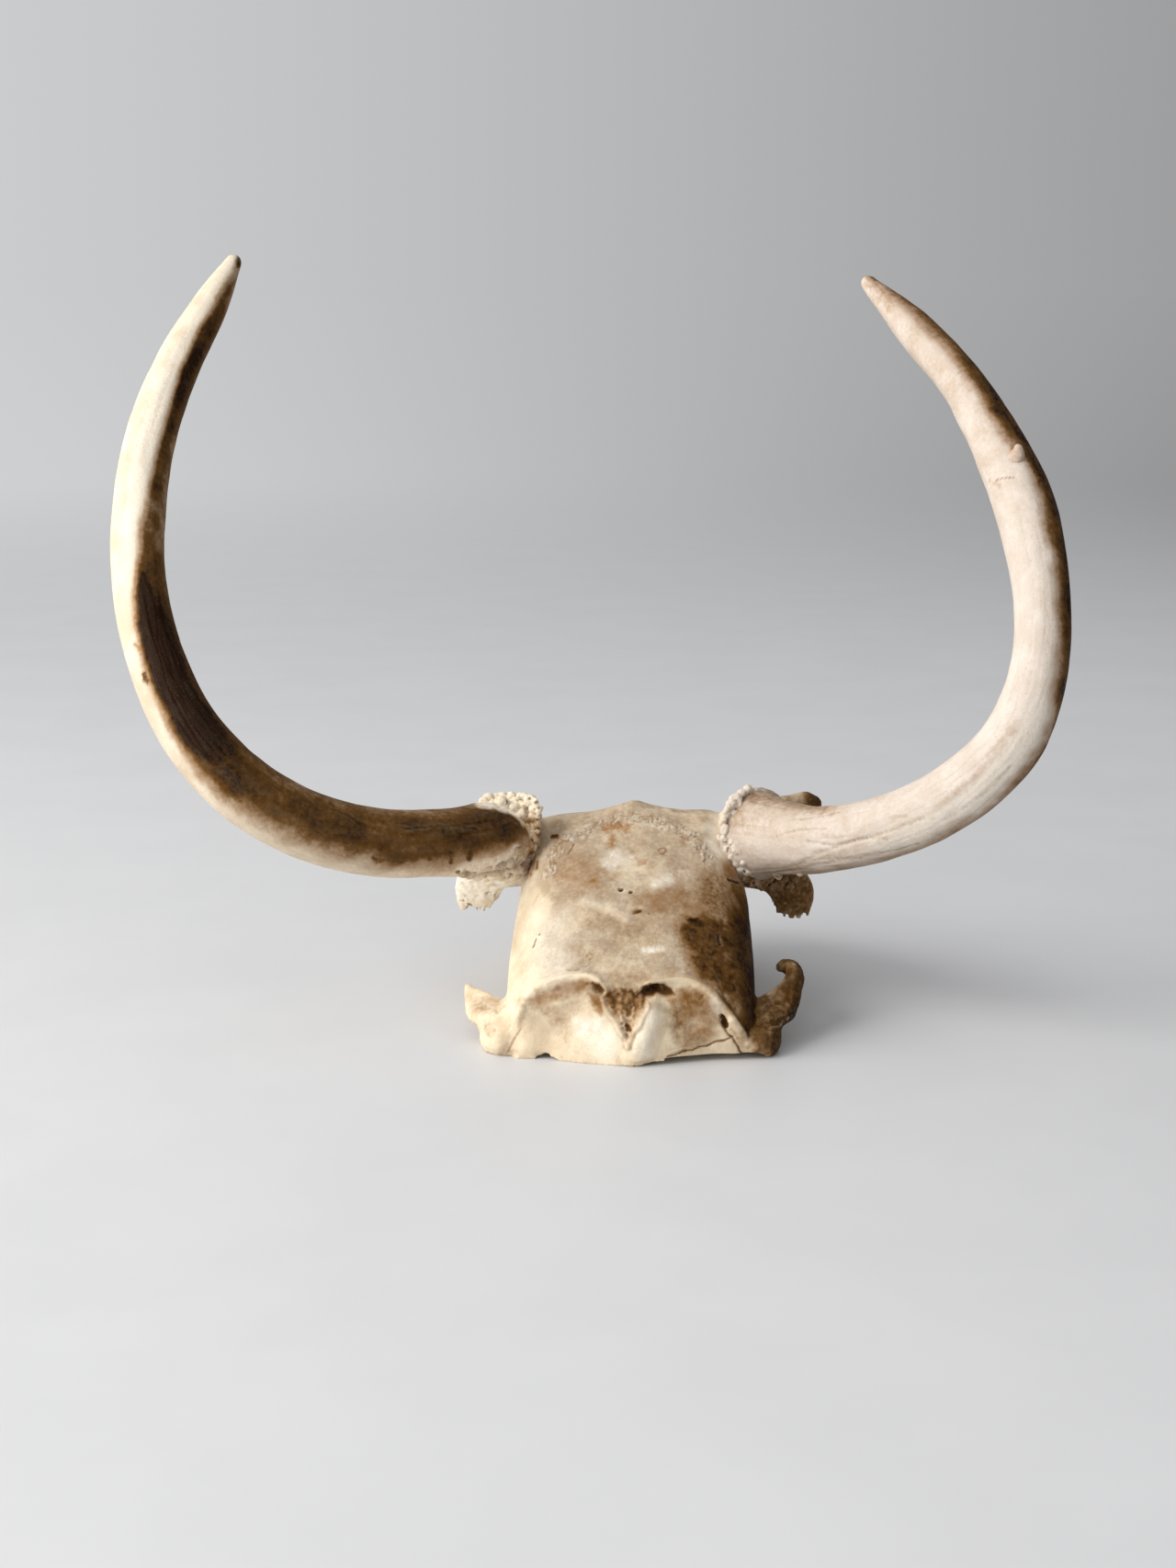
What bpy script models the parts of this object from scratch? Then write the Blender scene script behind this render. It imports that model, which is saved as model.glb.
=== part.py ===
"""Skull cap of a young buck deer with both antlers, at life size.

The frame: +Z up, the deer faces +Y, and the sawn underside lies on z = 0.
Sizes below are in millimetres and are scaled to metres as meshes are made.
The bones are modelled whole and then parted along their sutures.
"""
import math

import bmesh
import bpy
import numpy as np
from mathutils import Vector

MM = 0.001
WELD = 0.02
SUTURE_GAP = 0.3

# Base cut and the two relief gaps along its rear edge.
CUT_DEPTH = 8.0
RELIEF_RIGHT = (11.0, 36.0, 1.6)
RELIEF_LEFT = (-33.0, -27.0, 1.2)
RELIEF_DROP = 4.0
RELIEF_TAPER = 3.0
RELIEF_FRONT = 8.0
FRONT_LIFT_START = 104.0
FRONT_LIFT_SLOPE = 0.42

# Braincase stations: y, half width, height of the widest level, roof height,
# squareness of the vault, half width at the base.
BRAINCASE = (
    (2.0, 36.0, 6.0, 26.0, 2.5, 37.5),
    (8.0, 39.5, 8.0, 31.0, 2.5, 41.0),
    (16.0, 41.0, 9.0, 37.5, 2.5, 42.0),
    (26.0, 41.3, 11.0, 44.5, 2.5, 42.0),
    (36.0, 41.3, 13.0, 51.0, 2.7, 41.8),
    (46.0, 41.0, 15.0, 57.0, 2.9, 41.0),
    (56.0, 40.4, 18.0, 62.5, 3.1, 40.2),
    (66.0, 38.4, 22.0, 67.0, 3.3, 38.0),
    (76.0, 32.0, 26.0, 68.0, 3.2, 32.0),
    (138.0, 26.0, 26.0, 47.0, 3.0, 26.0),
)

# Frontal stations: y, half width of the roof, roof height, fall to the rim,
# rim thickness, half width of the wall, height of the orbit vault,
# top of the wall, half width at the base.
FRONTAL = (
    (54.0, 30.0, 61.5, 6.0, 10.0, 40.4, 46.0, 34.0, 40.5),
    (62.0, 33.0, 65.5, 6.0, 10.0, 39.2, 48.0, 36.0, 39.3),
    (70.0, 36.0, 68.4, 6.5, 10.0, 35.8, 50.0, 38.0, 36.0),
    (78.0, 45.0, 67.6, 10.5, 8.5, 30.0, 53.0, 39.0, 31.0),
    (84.0, 54.0, 66.0, 14.0, 7.0, 26.5, 56.0, 39.0, 28.0),
    (92.0, 58.0, 63.4, 14.5, 6.0, 23.0, 57.0, 38.0, 25.0),
    (100.0, 57.0, 60.4, 14.0, 6.0, 21.5, 55.0, 36.0, 24.0),
    (108.0, 51.5, 57.2, 12.5, 6.0, 22.5, 51.0, 34.0, 24.5),
    (116.0, 42.5, 54.2, 11.0, 7.0, 26.0, 41.0, 28.0, 26.0),
    (124.0, 35.0, 51.0, 9.5, 8.5, 28.0, 32.0, 23.0, 27.0),
    (132.0, 30.5, 47.4, 8.5, 8.5, 26.5, 27.5, 19.0, 25.0),
    (138.0, 28.0, 44.6, 8.0, 8.0, 25.0, 25.5, 17.0, 23.0),
)
BLEND_START = 54.0
BLEND_END = 76.0
SKULL_REAR = 2.0
SKULL_FRONT = 138.0
STATION_STEP = 7.2
ROOF_POINTS = 10
RIM_POINTS = 2
VAULT_POINTS = 5
WALL_POINTS = 4
ROOF_CURVE = 2.6
RIM_UNDERCUT = 1.6
RIM_BULGE = 2.0
ORBIT_VAULT_OFFSET = 2.5
WALL_CURVE = 1.5
FOREHEAD_BUMP = (0.0, 71.0, 2.4, 9.0, 7.0)
FOREHEAD_FLOOR = 40.0

# Occipital plate levels: z, half width, depth behind the origin at its centre.
OCCIPUT = (
    (-8.0, 44.0, 4.6),
    (0.0, 43.5, 4.6),
    (6.0, 41.5, 4.4),
    (12.0, 37.0, 3.4),
    (17.0, 33.5, 2.0),
    (21.0, 28.5, 0.6),
    (24.0, 22.5, -0.4),
    (26.0, 15.0, -1.0),
)
OCCIPUT_FRONT = 15.0
OCCIPUT_CORNER = 8.5
OCCIPUT_POINTS = 15
OCCIPUT_CURVE = 1.45
OCCIPUT_INSET = 6.0
CREST = (
    (36.4, 9.5, 9.0, 1.5),
    (34.8, 8.0, 13.6, 1.9),
    (30.5, 6.0, 19.0, 2.2),
    (23.0, 4.0, 23.6, 2.4),
    (13.5, 2.6, 25.6, 2.4),
    (5.5, 1.6, 24.2, 2.5),
    (0.0, 1.0, 22.8, 2.6),
)
CREST_STEP = 5.2
CREST_SIDES = 8
PROTUBERANCE_STEP = 3.0
PROTUBERANCE_SIDES = 10
PROTUBERANCE = (
    (0.0, 4.0, 21.5, 6.0),
    (0.0, 0.2, 19.0, 5.2),
    (0.0, -1.4, 14.5, 4.0),
    (0.0, -2.8, 9.0, 2.6),
    (0.0, -3.9, 4.0, 1.5),
    (0.0, -4.1, -3.0, 1.3),
)
MASTOID_CENTRE = (41.5, 15.0, 4.0)
MASTOID_RADII = (8.6, 13.0, 7.0)

# Flat processes: x, y, z, half width, half thickness, thin direction.
ZYGOMATIC_LEFT = (
    (-34.0, 20.0, 8.4, 11.0, 6.0, (0.0, 0.0, 1.0)),
    (-41.5, 21.0, 8.8, 10.0, 5.0, (0.0, 0.1, 1.0)),
    (-46.6, 24.0, 9.0, 8.0, 3.9, (-0.2, 0.0, 1.0)),
    (-50.4, 29.5, 9.4, 5.6, 2.8, (-0.6, 0.0, 1.0)),
    (-53.2, 36.0, 10.2, 3.8, 2.1, (-1.0, 0.0, 0.6)),
    (-55.0, 42.0, 11.0, 2.2, 1.5, (-1.0, 0.0, 0.3)),
    (-56.0, 46.5, 11.6, 0.9, 0.8, (-1.0, 0.0, 0.2)),
)
ZYGOMATIC_RIGHT = (
    (34.0, 20.0, 8.4, 11.0, 6.0, (0.0, 0.0, 1.0)),
    (41.5, 21.0, 9.0, 10.0, 5.0, (0.0, 0.1, 1.0)),
    (46.8, 24.0, 10.4, 7.8, 3.9, (0.3, 0.0, 1.0)),
    (51.0, 29.0, 12.8, 5.6, 3.0, (0.8, 0.0, 0.8)),
    (54.0, 34.0, 16.0, 4.2, 2.4, (1.0, 0.0, 0.5)),
    (55.0, 38.0, 19.0, 3.8, 2.3, (1.0, 0.0, 0.4)),
    (53.8, 41.6, 21.0, 3.2, 2.3, (1.0, 0.0, 0.8)),
    (50.6, 43.2, 21.2, 1.5, 1.3, (0.6, 0.0, 1.0)),
)
ORBIT_HORN_LEFT = (
    (-30.0, 73.0, 48.0, 7.5, 5.0, (0.0, 1.0, 0.0)),
    (-41.0, 76.5, 46.5, 7.0, 4.2, (0.0, 1.0, 0.0)),
    (-49.0, 78.6, 44.5, 7.2, 3.6, (0.0, 1.0, 0.0)),
    (-53.8, 79.2, 40.2, 8.0, 3.0, (0.0, 1.0, 0.0)),
    (-55.4, 79.0, 36.0, 7.4, 2.5, (0.0, 1.0, 0.1)),
    (-55.6, 78.6, 32.2, 5.2, 1.9, (0.0, 1.0, 0.1)),
)
ORBIT_HORN_RIGHT = (
    (30.0, 73.0, 48.0, 7.5, 5.0, (0.0, 1.0, 0.0)),
    (41.0, 76.5, 46.5, 7.0, 4.2, (0.0, 1.0, 0.0)),
    (49.5, 78.6, 44.0, 7.2, 3.6, (0.0, 1.0, 0.0)),
    (54.6, 79.2, 39.5, 7.4, 3.0, (0.0, 1.0, 0.0)),
    (55.8, 79.0, 35.0, 7.0, 2.5, (0.0, 1.0, 0.1)),
    (55.4, 78.6, 30.4, 5.6, 1.9, (0.0, 1.0, 0.1)),
)
PROCESS_SIDES = 14
PROCESS_POWER = 2.4

# Hollows: y, half width, top; both are open through the base.
BRAIN_CAVITY = (
    (9.0, 12.0, 6.0),
    (12.0, 26.0, 20.0),
    (18.0, 32.5, 30.0),
    (28.0, 35.0, 38.5),
    (40.0, 34.5, 46.0),
    (52.0, 32.5, 53.0),
    (61.0, 26.0, 54.0),
    (66.0, 17.0, 46.0),
    (69.0, 7.0, 24.0),
)
NASAL_CAVITY = (
    (88.0, 5.0, 16.0),
    (92.0, 11.0, 34.0),
    (100.0, 14.5, 46.0),
    (112.0, 16.5, 46.5),
    (124.0, 19.0, 43.5),
    (134.0, 18.5, 38.5),
    (146.0, 18.0, 34.5),
)
CAVITY_POINTS = 12
CAVITY_FLOOR = -20.0
CAVITY_SPRING = 0.25
CAVITY_POWER = 0.8
NASAL_NOTCH = (
    (-11.0, 160.0), (-9.0, 137.0), (-5.5, 128.0), (0.0, 122.0), (5.5, 128.0),
    (9.0, 137.0), (11.0, 160.0),
)

# Suture lines: occipital outline (x, z), squamous and orbit-wall outlines (y, z).
OCCIPITAL_SUTURE = (
    (-41.5, -30.0), (-41.5, 0.0), (-35.6, 13.5), (-36.6, 17.5), (-60.0, 60.0),
    (60.0, 60.0), (36.6, 17.5), (35.6, 13.5), (41.5, 0.0), (41.5, -30.0),
)
OCCIPITAL_FRONT = 7.0
SQUAMOUS_SUTURE = (
    (-40.0, -30.0), (-40.0, 60.0), (7.0, 22.0), (20.0, 28.0), (34.0, 30.5),
    (46.0, 29.5), (56.0, 25.0), (63.0, 16.0), (65.0, 0.0), (65.0, -30.0),
)
SQUAMOUS_INNER = 14.0
ORBIT_SUTURE = (
    (64.0, -30.0), (64.0, 20.0), (72.0, 27.0), (84.0, 31.0), (98.0, 31.0),
    (110.0, 27.0), (120.0, 16.0), (120.0, -30.0),
)
ORBIT_WALL_OUTER = 45.0
ORBIT_WALL_INNER = 10.0
CORONAL_CENTRE = 62.5
CORONAL_SIDE = 44.0
CORONAL_HALF_WIDTH = 40.0
CORONAL_STEPS = 8
REACH = 200.0
SIDES = (("left", -1.0), ("right", 1.0))

# Antlers: beam centre line x, y, z and diameter; the first row is the burr.
BEAM_LEFT = (
    (-44.6, 67.2, 60.0, 24.4), (-52.5, 55.8, 60.8, 23.6), (-64.0, 43.6, 62.2, 22.6),
    (-87.0, 29.5, 65.8, 22.4), (-109.5, 21.5, 74.2, 22.4), (-129.0, 18.0, 88.0, 21.6),
    (-144.5, 20.0, 106.2, 20.0), (-155.5, 28.0, 127.0, 18.4), (-162.5, 40.5, 149.0, 17.6),
    (-165.2, 56.0, 172.0, 17.4), (-164.2, 74.0, 195.0, 16.8), (-158.8, 93.0, 217.2, 15.4),
    (-149.8, 113.0, 238.6, 12.2), (-143.2, 128.0, 254.6, 5.0),
)
BEAM_RIGHT = (
    (42.6, 68.0, 60.2, 24.6), (52.0, 55.6, 62.2, 23.4), (65.0, 43.2, 64.6, 21.8),
    (87.5, 29.8, 73.2, 20.8), (107.8, 22.0, 86.4, 21.0), (123.2, 19.0, 104.6, 20.2),
    (130.6, 23.0, 127.0, 18.2), (131.6, 33.6, 149.5, 18.2), (128.6, 48.2, 171.5, 19.8),
    (121.2, 65.6, 192.4, 18.0), (110.6, 86.0, 212.4, 14.8), (95.8, 108.4, 230.7, 12.8),
    (80.2, 129.0, 247.1, 4.6),
)
BEAM_SIDES = 14
BEAM_STEP = 9.0
BURR_HALF_THICKNESS = 4.0
SEAT_GAP = SUTURE_GAP - 0.02
BURR_RADIUS_LEFT = 14.2
BURR_RADIUS_RIGHT = 15.9
BURR_KNOBS = 9
BURR_KNOB_HEIGHT = 0.9
BURR_WAVES = 5
BURR_SEGMENTS = 32
BURR_PROFILE = ((-1.0, 0.86), (-0.72, 0.96), (0.0, 1.0), (0.72, 0.95), (1.0, 0.84))
BEAM_COLLAR = 1.2
TIP_LENGTH = 1.4
TIP_SHARE = 0.45
PEDICLE_ROOT = (31.0, 80.5, 51.5)
PEDICLE_RADIUS = 11.8
PEDICLE_FLARE = 1.4
PEDICLE_RINGS = 3
PEDICLE_NECK = 2.0
PEDICLE_SIDES = 16
BROW_LEFT = (
    (-50.0, 65.0, 63.5, 5.4), (-52.0, 69.5, 66.0, 4.6), (-54.5, 73.5, 67.2, 3.4),
    (-56.4, 76.0, 67.4, 2.0),
)
BROW_RIGHT = (
    (48.0, 65.0, 64.0, 6.4), (51.0, 69.5, 68.0, 5.4), (56.0, 73.0, 69.4, 4.2),
    (60.6, 76.0, 69.8, 3.9), (64.0, 78.0, 69.6, 3.6),
)
BRANCH_SIDES = 12
BRANCH_STEP = 2.5
TINE_STUB = (
    (121.0, 58.0, 190.0, 5.2), (125.5, 51.5, 191.0, 3.8), (128.2, 48.0, 192.6, 1.6),
)

# The pedicles graze the orbit rims; from there on the exact solver drops faces of the cap.
CAP_SOLVER = "MANIFOLD"

# Colours (linear), roughness.
BONE_CREAM = (0.62, 0.50, 0.35, 0.62)
BONE_GREY = (0.50, 0.40, 0.29, 0.66)
BONE_BROWN = (0.46, 0.33, 0.22, 0.70)
ANTLER_PALE = (0.56, 0.46, 0.38, 0.55)
ANTLER_BROWN = (0.40, 0.30, 0.21, 0.52)
BURR_CREAM = (0.60, 0.48, 0.34, 0.68)


def clear_scene():
    """Empty the scene and its unused data."""
    for obj in list(bpy.data.objects):
        bpy.data.objects.remove(obj, do_unlink=True)
    for coll in list(bpy.data.collections):
        bpy.data.collections.remove(coll)
    for mesh in list(bpy.data.meshes):
        bpy.data.meshes.remove(mesh)
    for mat in list(bpy.data.materials):
        bpy.data.materials.remove(mat)


def make_collection(name):
    """A new collection under the scene."""
    coll = bpy.data.collections.new(name)
    bpy.context.scene.collection.children.link(coll)
    return coll


def smoothstep(t):
    """Ease from 0 to 1."""
    t = min(max(t, 0.0), 1.0)
    return t * t * (3.0 - 2.0 * t)


def table_at(table, value):
    """Row of a station table at a value of its first column, eased between rows."""
    rows = np.array([[float(v) for v in row] for row in table])
    keys = rows[:, 0]
    value = min(max(value, keys[0]), keys[-1])
    k = int(np.clip(np.searchsorted(keys, value) - 1, 0, len(keys) - 2))
    width = keys[k + 1] - keys[k]
    t = (value - keys[k]) / width

    def slope(j):
        if j == 0:
            return (rows[1] - rows[0]) / (keys[1] - keys[0])
        if j == len(keys) - 1:
            return (rows[-1] - rows[-2]) / (keys[-1] - keys[-2])
        return (rows[j + 1] - rows[j - 1]) / (keys[j + 1] - keys[j - 1])

    out = (2 * t ** 3 - 3 * t ** 2 + 1) * rows[k]
    out = out + (t ** 3 - 2 * t ** 2 + t) * width * slope(k)
    out = out + (-2 * t ** 3 + 3 * t ** 2) * rows[k + 1]
    return out + (t ** 3 - t ** 2) * width * slope(k + 1)


def path_at(rows, step):
    """Points and radii along a smooth path through rows of x, y, z, size."""
    pts = np.array([row[:4] for row in rows], dtype=float)
    chord = np.linalg.norm(np.diff(pts[:, :3], axis=0), axis=1)
    arc = np.concatenate([[0.0], np.cumsum(chord)])
    table = [(s, *p) for s, p in zip(arc, pts)]
    count = max(2, int(math.ceil(arc[-1] / step)) + 1)
    return np.array([table_at(table, s)[1:] for s in np.linspace(0.0, arc[-1], count)])


def weld_outward(mesh):
    """Weld the seams of a closed mesh and turn its faces outward."""
    work = bmesh.new()
    work.from_mesh(mesh)
    bmesh.ops.remove_doubles(work, verts=work.verts, dist=WELD * MM)
    bmesh.ops.recalc_face_normals(work, faces=work.faces)
    if work.calc_volume(signed=True) < 0.0:
        bmesh.ops.reverse_faces(work, faces=work.faces)
    work.to_mesh(mesh)
    work.free()


def mesh_object(name, verts, faces, coll):
    """An object from vertices in millimetres, with its faces turned outward."""
    mesh = bpy.data.meshes.new(name)
    mesh.from_pydata([tuple(v * MM for v in p) for p in verts], [], faces)
    weld_outward(mesh)
    obj = bpy.data.objects.new(name, mesh)
    coll.objects.link(obj)
    return obj


def loft(name, rings, coll):
    """A closed solid through rings of equal count."""
    count = len(rings[0])
    verts = [tuple(p) for ring in rings for p in ring]
    faces = []
    for i in range(len(rings) - 1):
        for j in range(count):
            k = (j + 1) % count
            low = i * count
            high = low + count
            faces.append((low + j, low + k, high + k, high + j))
    for start in (0, (len(rings) - 1) * count):
        centre = np.mean([verts[start + j] for j in range(count)], axis=0)
        verts.append(tuple(centre))
        hub = len(verts) - 1
        for j in range(count):
            faces.append((start + j, start + (j + 1) % count, hub))
    return mesh_object(name, verts, faces, coll)


def tangents_along(points):
    """Unit tangents of a path."""
    tangents = np.gradient(points, axis=0)
    return tangents / np.linalg.norm(tangents, axis=1)[:, None]


def solid_from_curve(name, curve, coll):
    """Mesh object from a filled curve, its caps welded on."""
    guide = bpy.data.objects.new(name, curve)
    coll.objects.link(guide)
    bpy.context.view_layer.update()
    evaluated = guide.evaluated_get(bpy.context.evaluated_depsgraph_get())
    mesh = bpy.data.meshes.new_from_object(evaluated)
    bpy.data.objects.remove(guide, do_unlink=True)
    weld_outward(mesh)
    solid = bpy.data.objects.new(name, mesh)
    coll.objects.link(solid)
    return solid


def tube(name, points, radii, sides, coll):
    """Round tube through points in millimetres, with a radius at each."""
    curve = bpy.data.curves.new(name, "CURVE")
    curve.dimensions = "3D"
    curve.bevel_depth = MM
    curve.bevel_resolution = (sides - 4) // 2
    curve.use_fill_caps = True
    spline = curve.splines.new("POLY")
    spline.points.add(len(points) - 1)
    for knot, point, radius in zip(spline.points, points, radii):
        knot.co = (point[0] * MM, point[1] * MM, point[2] * MM, 1.0)
        knot.radius = radius
    return solid_from_curve(name, curve, coll)


def process(name, rows, coll):
    """A flat bony process: oval sections along a path."""
    rows_flat = [(*row[:5], *row[5]) for row in rows]
    pts = np.array(rows_flat, dtype=float)
    chord = np.linalg.norm(np.diff(pts[:, :3], axis=0), axis=1)
    arc = np.concatenate([[0.0], np.cumsum(chord)])
    table = [(s, *p) for s, p in zip(arc, pts)]
    count = 2 * len(rows) - 1
    fine = np.array([table_at(table, s)[1:] for s in np.linspace(0.0, arc[-1], count)])
    tangents = tangents_along(fine[:, :3])
    rings = []
    for row, tangent in zip(fine, tangents):
        thin = row[5:8] - tangent * float(row[5:8] @ tangent)
        thin = thin / np.linalg.norm(thin)
        wide = np.cross(tangent, thin)
        ring = []
        for j in range(PROCESS_SIDES):
            angle = 2.0 * math.pi * j / PROCESS_SIDES
            c = math.cos(angle)
            s = math.sin(angle)
            cx = math.copysign(abs(c) ** (2.0 / PROCESS_POWER), c)
            sx = math.copysign(abs(s) ** (2.0 / PROCESS_POWER), s)
            ring.append(row[:3] + wide * (row[3] * cx) + thin * (row[4] * sx))
        rings.append(ring)
    return loft(name, rings, coll)


def vault_half(y):
    """Half section of the braincase at y, from roof centre to base."""
    _, half, level, roof, power, base = table_at(BRAINCASE, y)
    rise = roof - level
    angles = list(np.linspace(90.0, 38.0, ROOF_POINTS))
    angles += list(np.linspace(38.0, 30.0, RIM_POINTS + 1))[1:]
    angles += list(np.linspace(30.0, 0.0, VAULT_POINTS + 1))[1:]
    half_ring = []
    for angle in angles:
        c = max(math.cos(math.radians(angle)), 0.0) ** (2.0 / power)
        s = max(math.sin(math.radians(angle)), 0.0) ** (2.0 / power)
        half_ring.append((half * c, level + rise * s))
    return half_ring + wall_points(half, level, base)


def wall_points(half, level, base):
    """Side wall from its top down past the base cut."""
    points = []
    for i in range(1, WALL_POINTS + 1):
        t = i / WALL_POINTS
        points.append((half + (base - half) * t ** WALL_CURVE, level + (-CUT_DEPTH - level) * t))
    return points


def bezier(a, b, c, t):
    """Point of a quadratic curve."""
    return tuple((1 - t) ** 2 * p + 2 * (1 - t) * t * q + t * t * r for p, q, r in zip(a, b, c))


def frontal_half(y):
    """Half section of the frontal region at y: roof, orbit rim, orbit vault and wall."""
    _, rim, roof, fall, thick, wall, vault, top, base = table_at(FRONTAL, y)
    half_ring = []
    for i in range(ROOF_POINTS):
        u = i / (ROOF_POINTS - 1)
        half_ring.append((rim * u, roof - fall * u ** ROOF_CURVE))
    upper = (rim, roof - fall)
    edge = (rim + RIM_BULGE, roof - fall - thick * 0.5)
    lower = (rim - RIM_UNDERCUT, roof - fall - thick)
    arch = (wall + ORBIT_VAULT_OFFSET, vault)
    for i in range(1, RIM_POINTS + 1):
        half_ring.append(bezier(upper, edge, lower, i / RIM_POINTS))
    for i in range(1, VAULT_POINTS + 1):
        half_ring.append(bezier(lower, arch, (wall, top), i / VAULT_POINTS))
    return half_ring + wall_points(wall, top, base)


def skull_ring(y):
    """Full section of the skull at y."""
    blend = smoothstep((y - BLEND_START) / (BLEND_END - BLEND_START))
    back = vault_half(y)
    front = frontal_half(y)
    half_ring = []
    cx, cy, height, span_x, span_y = FOREHEAD_BUMP
    for (xa, za), (xb, zb) in zip(back, front):
        x = xa + (xb - xa) * blend
        z = za + (zb - za) * blend
        if z > FOREHEAD_FLOOR:
            z += height * math.exp(-((x - cx) / span_x) ** 2 - ((y - cy) / span_y) ** 2)
        half_ring.append((x, z))
    right = [(x, y, z) for x, z in half_ring]
    left = [(-x, y, z) for x, z in half_ring[1:]]
    return right + left[::-1]


def occiput_ring(level):
    """Horizontal section of the occipital plate."""
    z, half, depth = table_at(OCCIPUT, level)
    ring = []
    for i in range(OCCIPUT_POINTS):
        u = 2.0 * i / (OCCIPUT_POINTS - 1) - 1.0
        y = -depth + (OCCIPUT_CORNER + depth) * abs(u) ** OCCIPUT_CURVE
        ring.append((half * u, y, z))
    inner = half - OCCIPUT_INSET
    ring += [(inner, OCCIPUT_FRONT, z), (0.0, OCCIPUT_FRONT, z), (-inner, OCCIPUT_FRONT, z)]
    return ring


def cavity_ring(y, half, top):
    """Arched section of a hollow that is open below the base."""
    ring = [(half, y, CAVITY_FLOOR)]
    for i in range(CAVITY_POINTS + 1):
        angle = math.pi * i / CAVITY_POINTS
        c = math.cos(angle)
        s = math.sin(angle)
        x = half * math.copysign(abs(c) ** CAVITY_POWER, c)
        rise = CAVITY_SPRING + (1.0 - CAVITY_SPRING) * abs(s) ** CAVITY_POWER
        ring.append((x, y, top * rise))
    ring.append((-half, y, CAVITY_FLOOR))
    return ring


def grow_outline(outline, grow):
    """Offset a closed outline by a distance, outward."""
    pts = [Vector(p) for p in outline]
    area = sum(a.x * b.y - b.x * a.y for a, b in zip(pts, pts[1:] + pts[:1]))
    sign = 1.0 if area > 0.0 else -1.0
    grown = []
    for i, p in enumerate(pts):
        before = (p - pts[i - 1]).normalized()
        after = (pts[(i + 1) % len(pts)] - p).normalized()
        normal_a = Vector((before.y, -before.x)) * sign
        normal_b = Vector((after.y, -after.x)) * sign
        middle = (normal_a + normal_b).normalized()
        grown.append(tuple(p + middle * (grow / max(0.3, middle.dot(normal_a)))))
    return grown


def prism(name, outline, axis, low, high, grow, coll):
    """A block with the given outline, along one axis: an extruded flat curve."""
    flat = grow_outline(outline, grow)
    curve = bpy.data.curves.new(name, "CURVE")
    curve.dimensions = "2D"
    curve.fill_mode = "BOTH"
    curve.extrude = ((high - low) * 0.5 + grow) * MM
    spline = curve.splines.new("POLY")
    spline.points.add(len(flat) - 1)
    for knot, (u, v) in zip(spline.points, flat):
        knot.co = (u * MM, v * MM, 0.0, 1.0)
    spline.use_cyclic_u = True
    block = solid_from_curve(name, curve, coll)
    middle = (low + high) * 0.5 * MM
    for vert in block.data.vertices:
        u, v, w = vert.co
        w += middle
        vert.co = {"x": (w, u, v), "y": (u, w, v), "z": (u, v, w)}[axis]
    weld_outward(block.data)
    return block


def combine(target, tool, operation, coll, name=None, solver="EXACT"):
    """Boolean of two closed solids as a new object."""
    tool.hide_render = True
    tool.display_type = "WIRE"
    modifier = target.modifiers.new("cut", "BOOLEAN")
    modifier.operation = operation
    modifier.solver = solver
    modifier.object = tool
    bpy.context.view_layer.update()
    evaluated = target.evaluated_get(bpy.context.evaluated_depsgraph_get())
    mesh = bpy.data.meshes.new_from_object(evaluated)
    target.modifiers.remove(modifier)
    mesh.materials.clear()
    result = bpy.data.objects.new(name or target.name, mesh)
    coll.objects.link(result)
    return result


def discard(*objects):
    """Remove scratch solids."""
    for obj in objects:
        bpy.data.objects.remove(obj, do_unlink=True)


def absorb(target, tool, operation, coll, solver="EXACT"):
    """Boolean that replaces its target and drops its tool."""
    result = combine(target, tool, operation, coll, solver=solver)
    discard(target, tool)
    return result


def peel(rest, make_cutter, name, coll):
    """Part one bone from the rest, leaving a suture gap."""
    cutter = make_cutter(0.0)
    piece = combine(rest, cutter, "INTERSECT", coll, name, CAP_SOLVER)
    wider = make_cutter(SUTURE_GAP)
    remainder = combine(rest, wider, "DIFFERENCE", coll, solver=CAP_SOLVER)
    discard(rest, cutter, wider)
    return piece, remainder


def clean(obj):
    """Weld tiny edges left by the cuts and drop crumbs smaller than the bone."""
    work = bmesh.new()
    work.from_mesh(obj.data)
    bmesh.ops.remove_doubles(work, verts=work.verts, dist=WELD * 1.5 * MM)
    bmesh.ops.dissolve_degenerate(work, edges=work.edges, dist=WELD * 1.5 * MM)
    seen = set()
    shells = []
    for vert in work.verts:
        if vert.index in seen:
            continue
        stack = [vert]
        seen.add(vert.index)
        shell = []
        while stack:
            item = stack.pop()
            shell.append(item)
            for edge in item.link_edges:
                other = edge.other_vert(item)
                if other.index not in seen:
                    seen.add(other.index)
                    stack.append(other)
        shells.append(shell)
    shells.sort(key=len)
    crumbs = [v for shell in shells[:-1] for v in shell]
    if crumbs:
        bmesh.ops.delete(work, geom=crumbs, context="VERTS")
    bmesh.ops.triangulate(work, faces=[f for f in work.faces if len(f.verts) > 4])
    work.to_mesh(obj.data)
    work.free()


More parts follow.
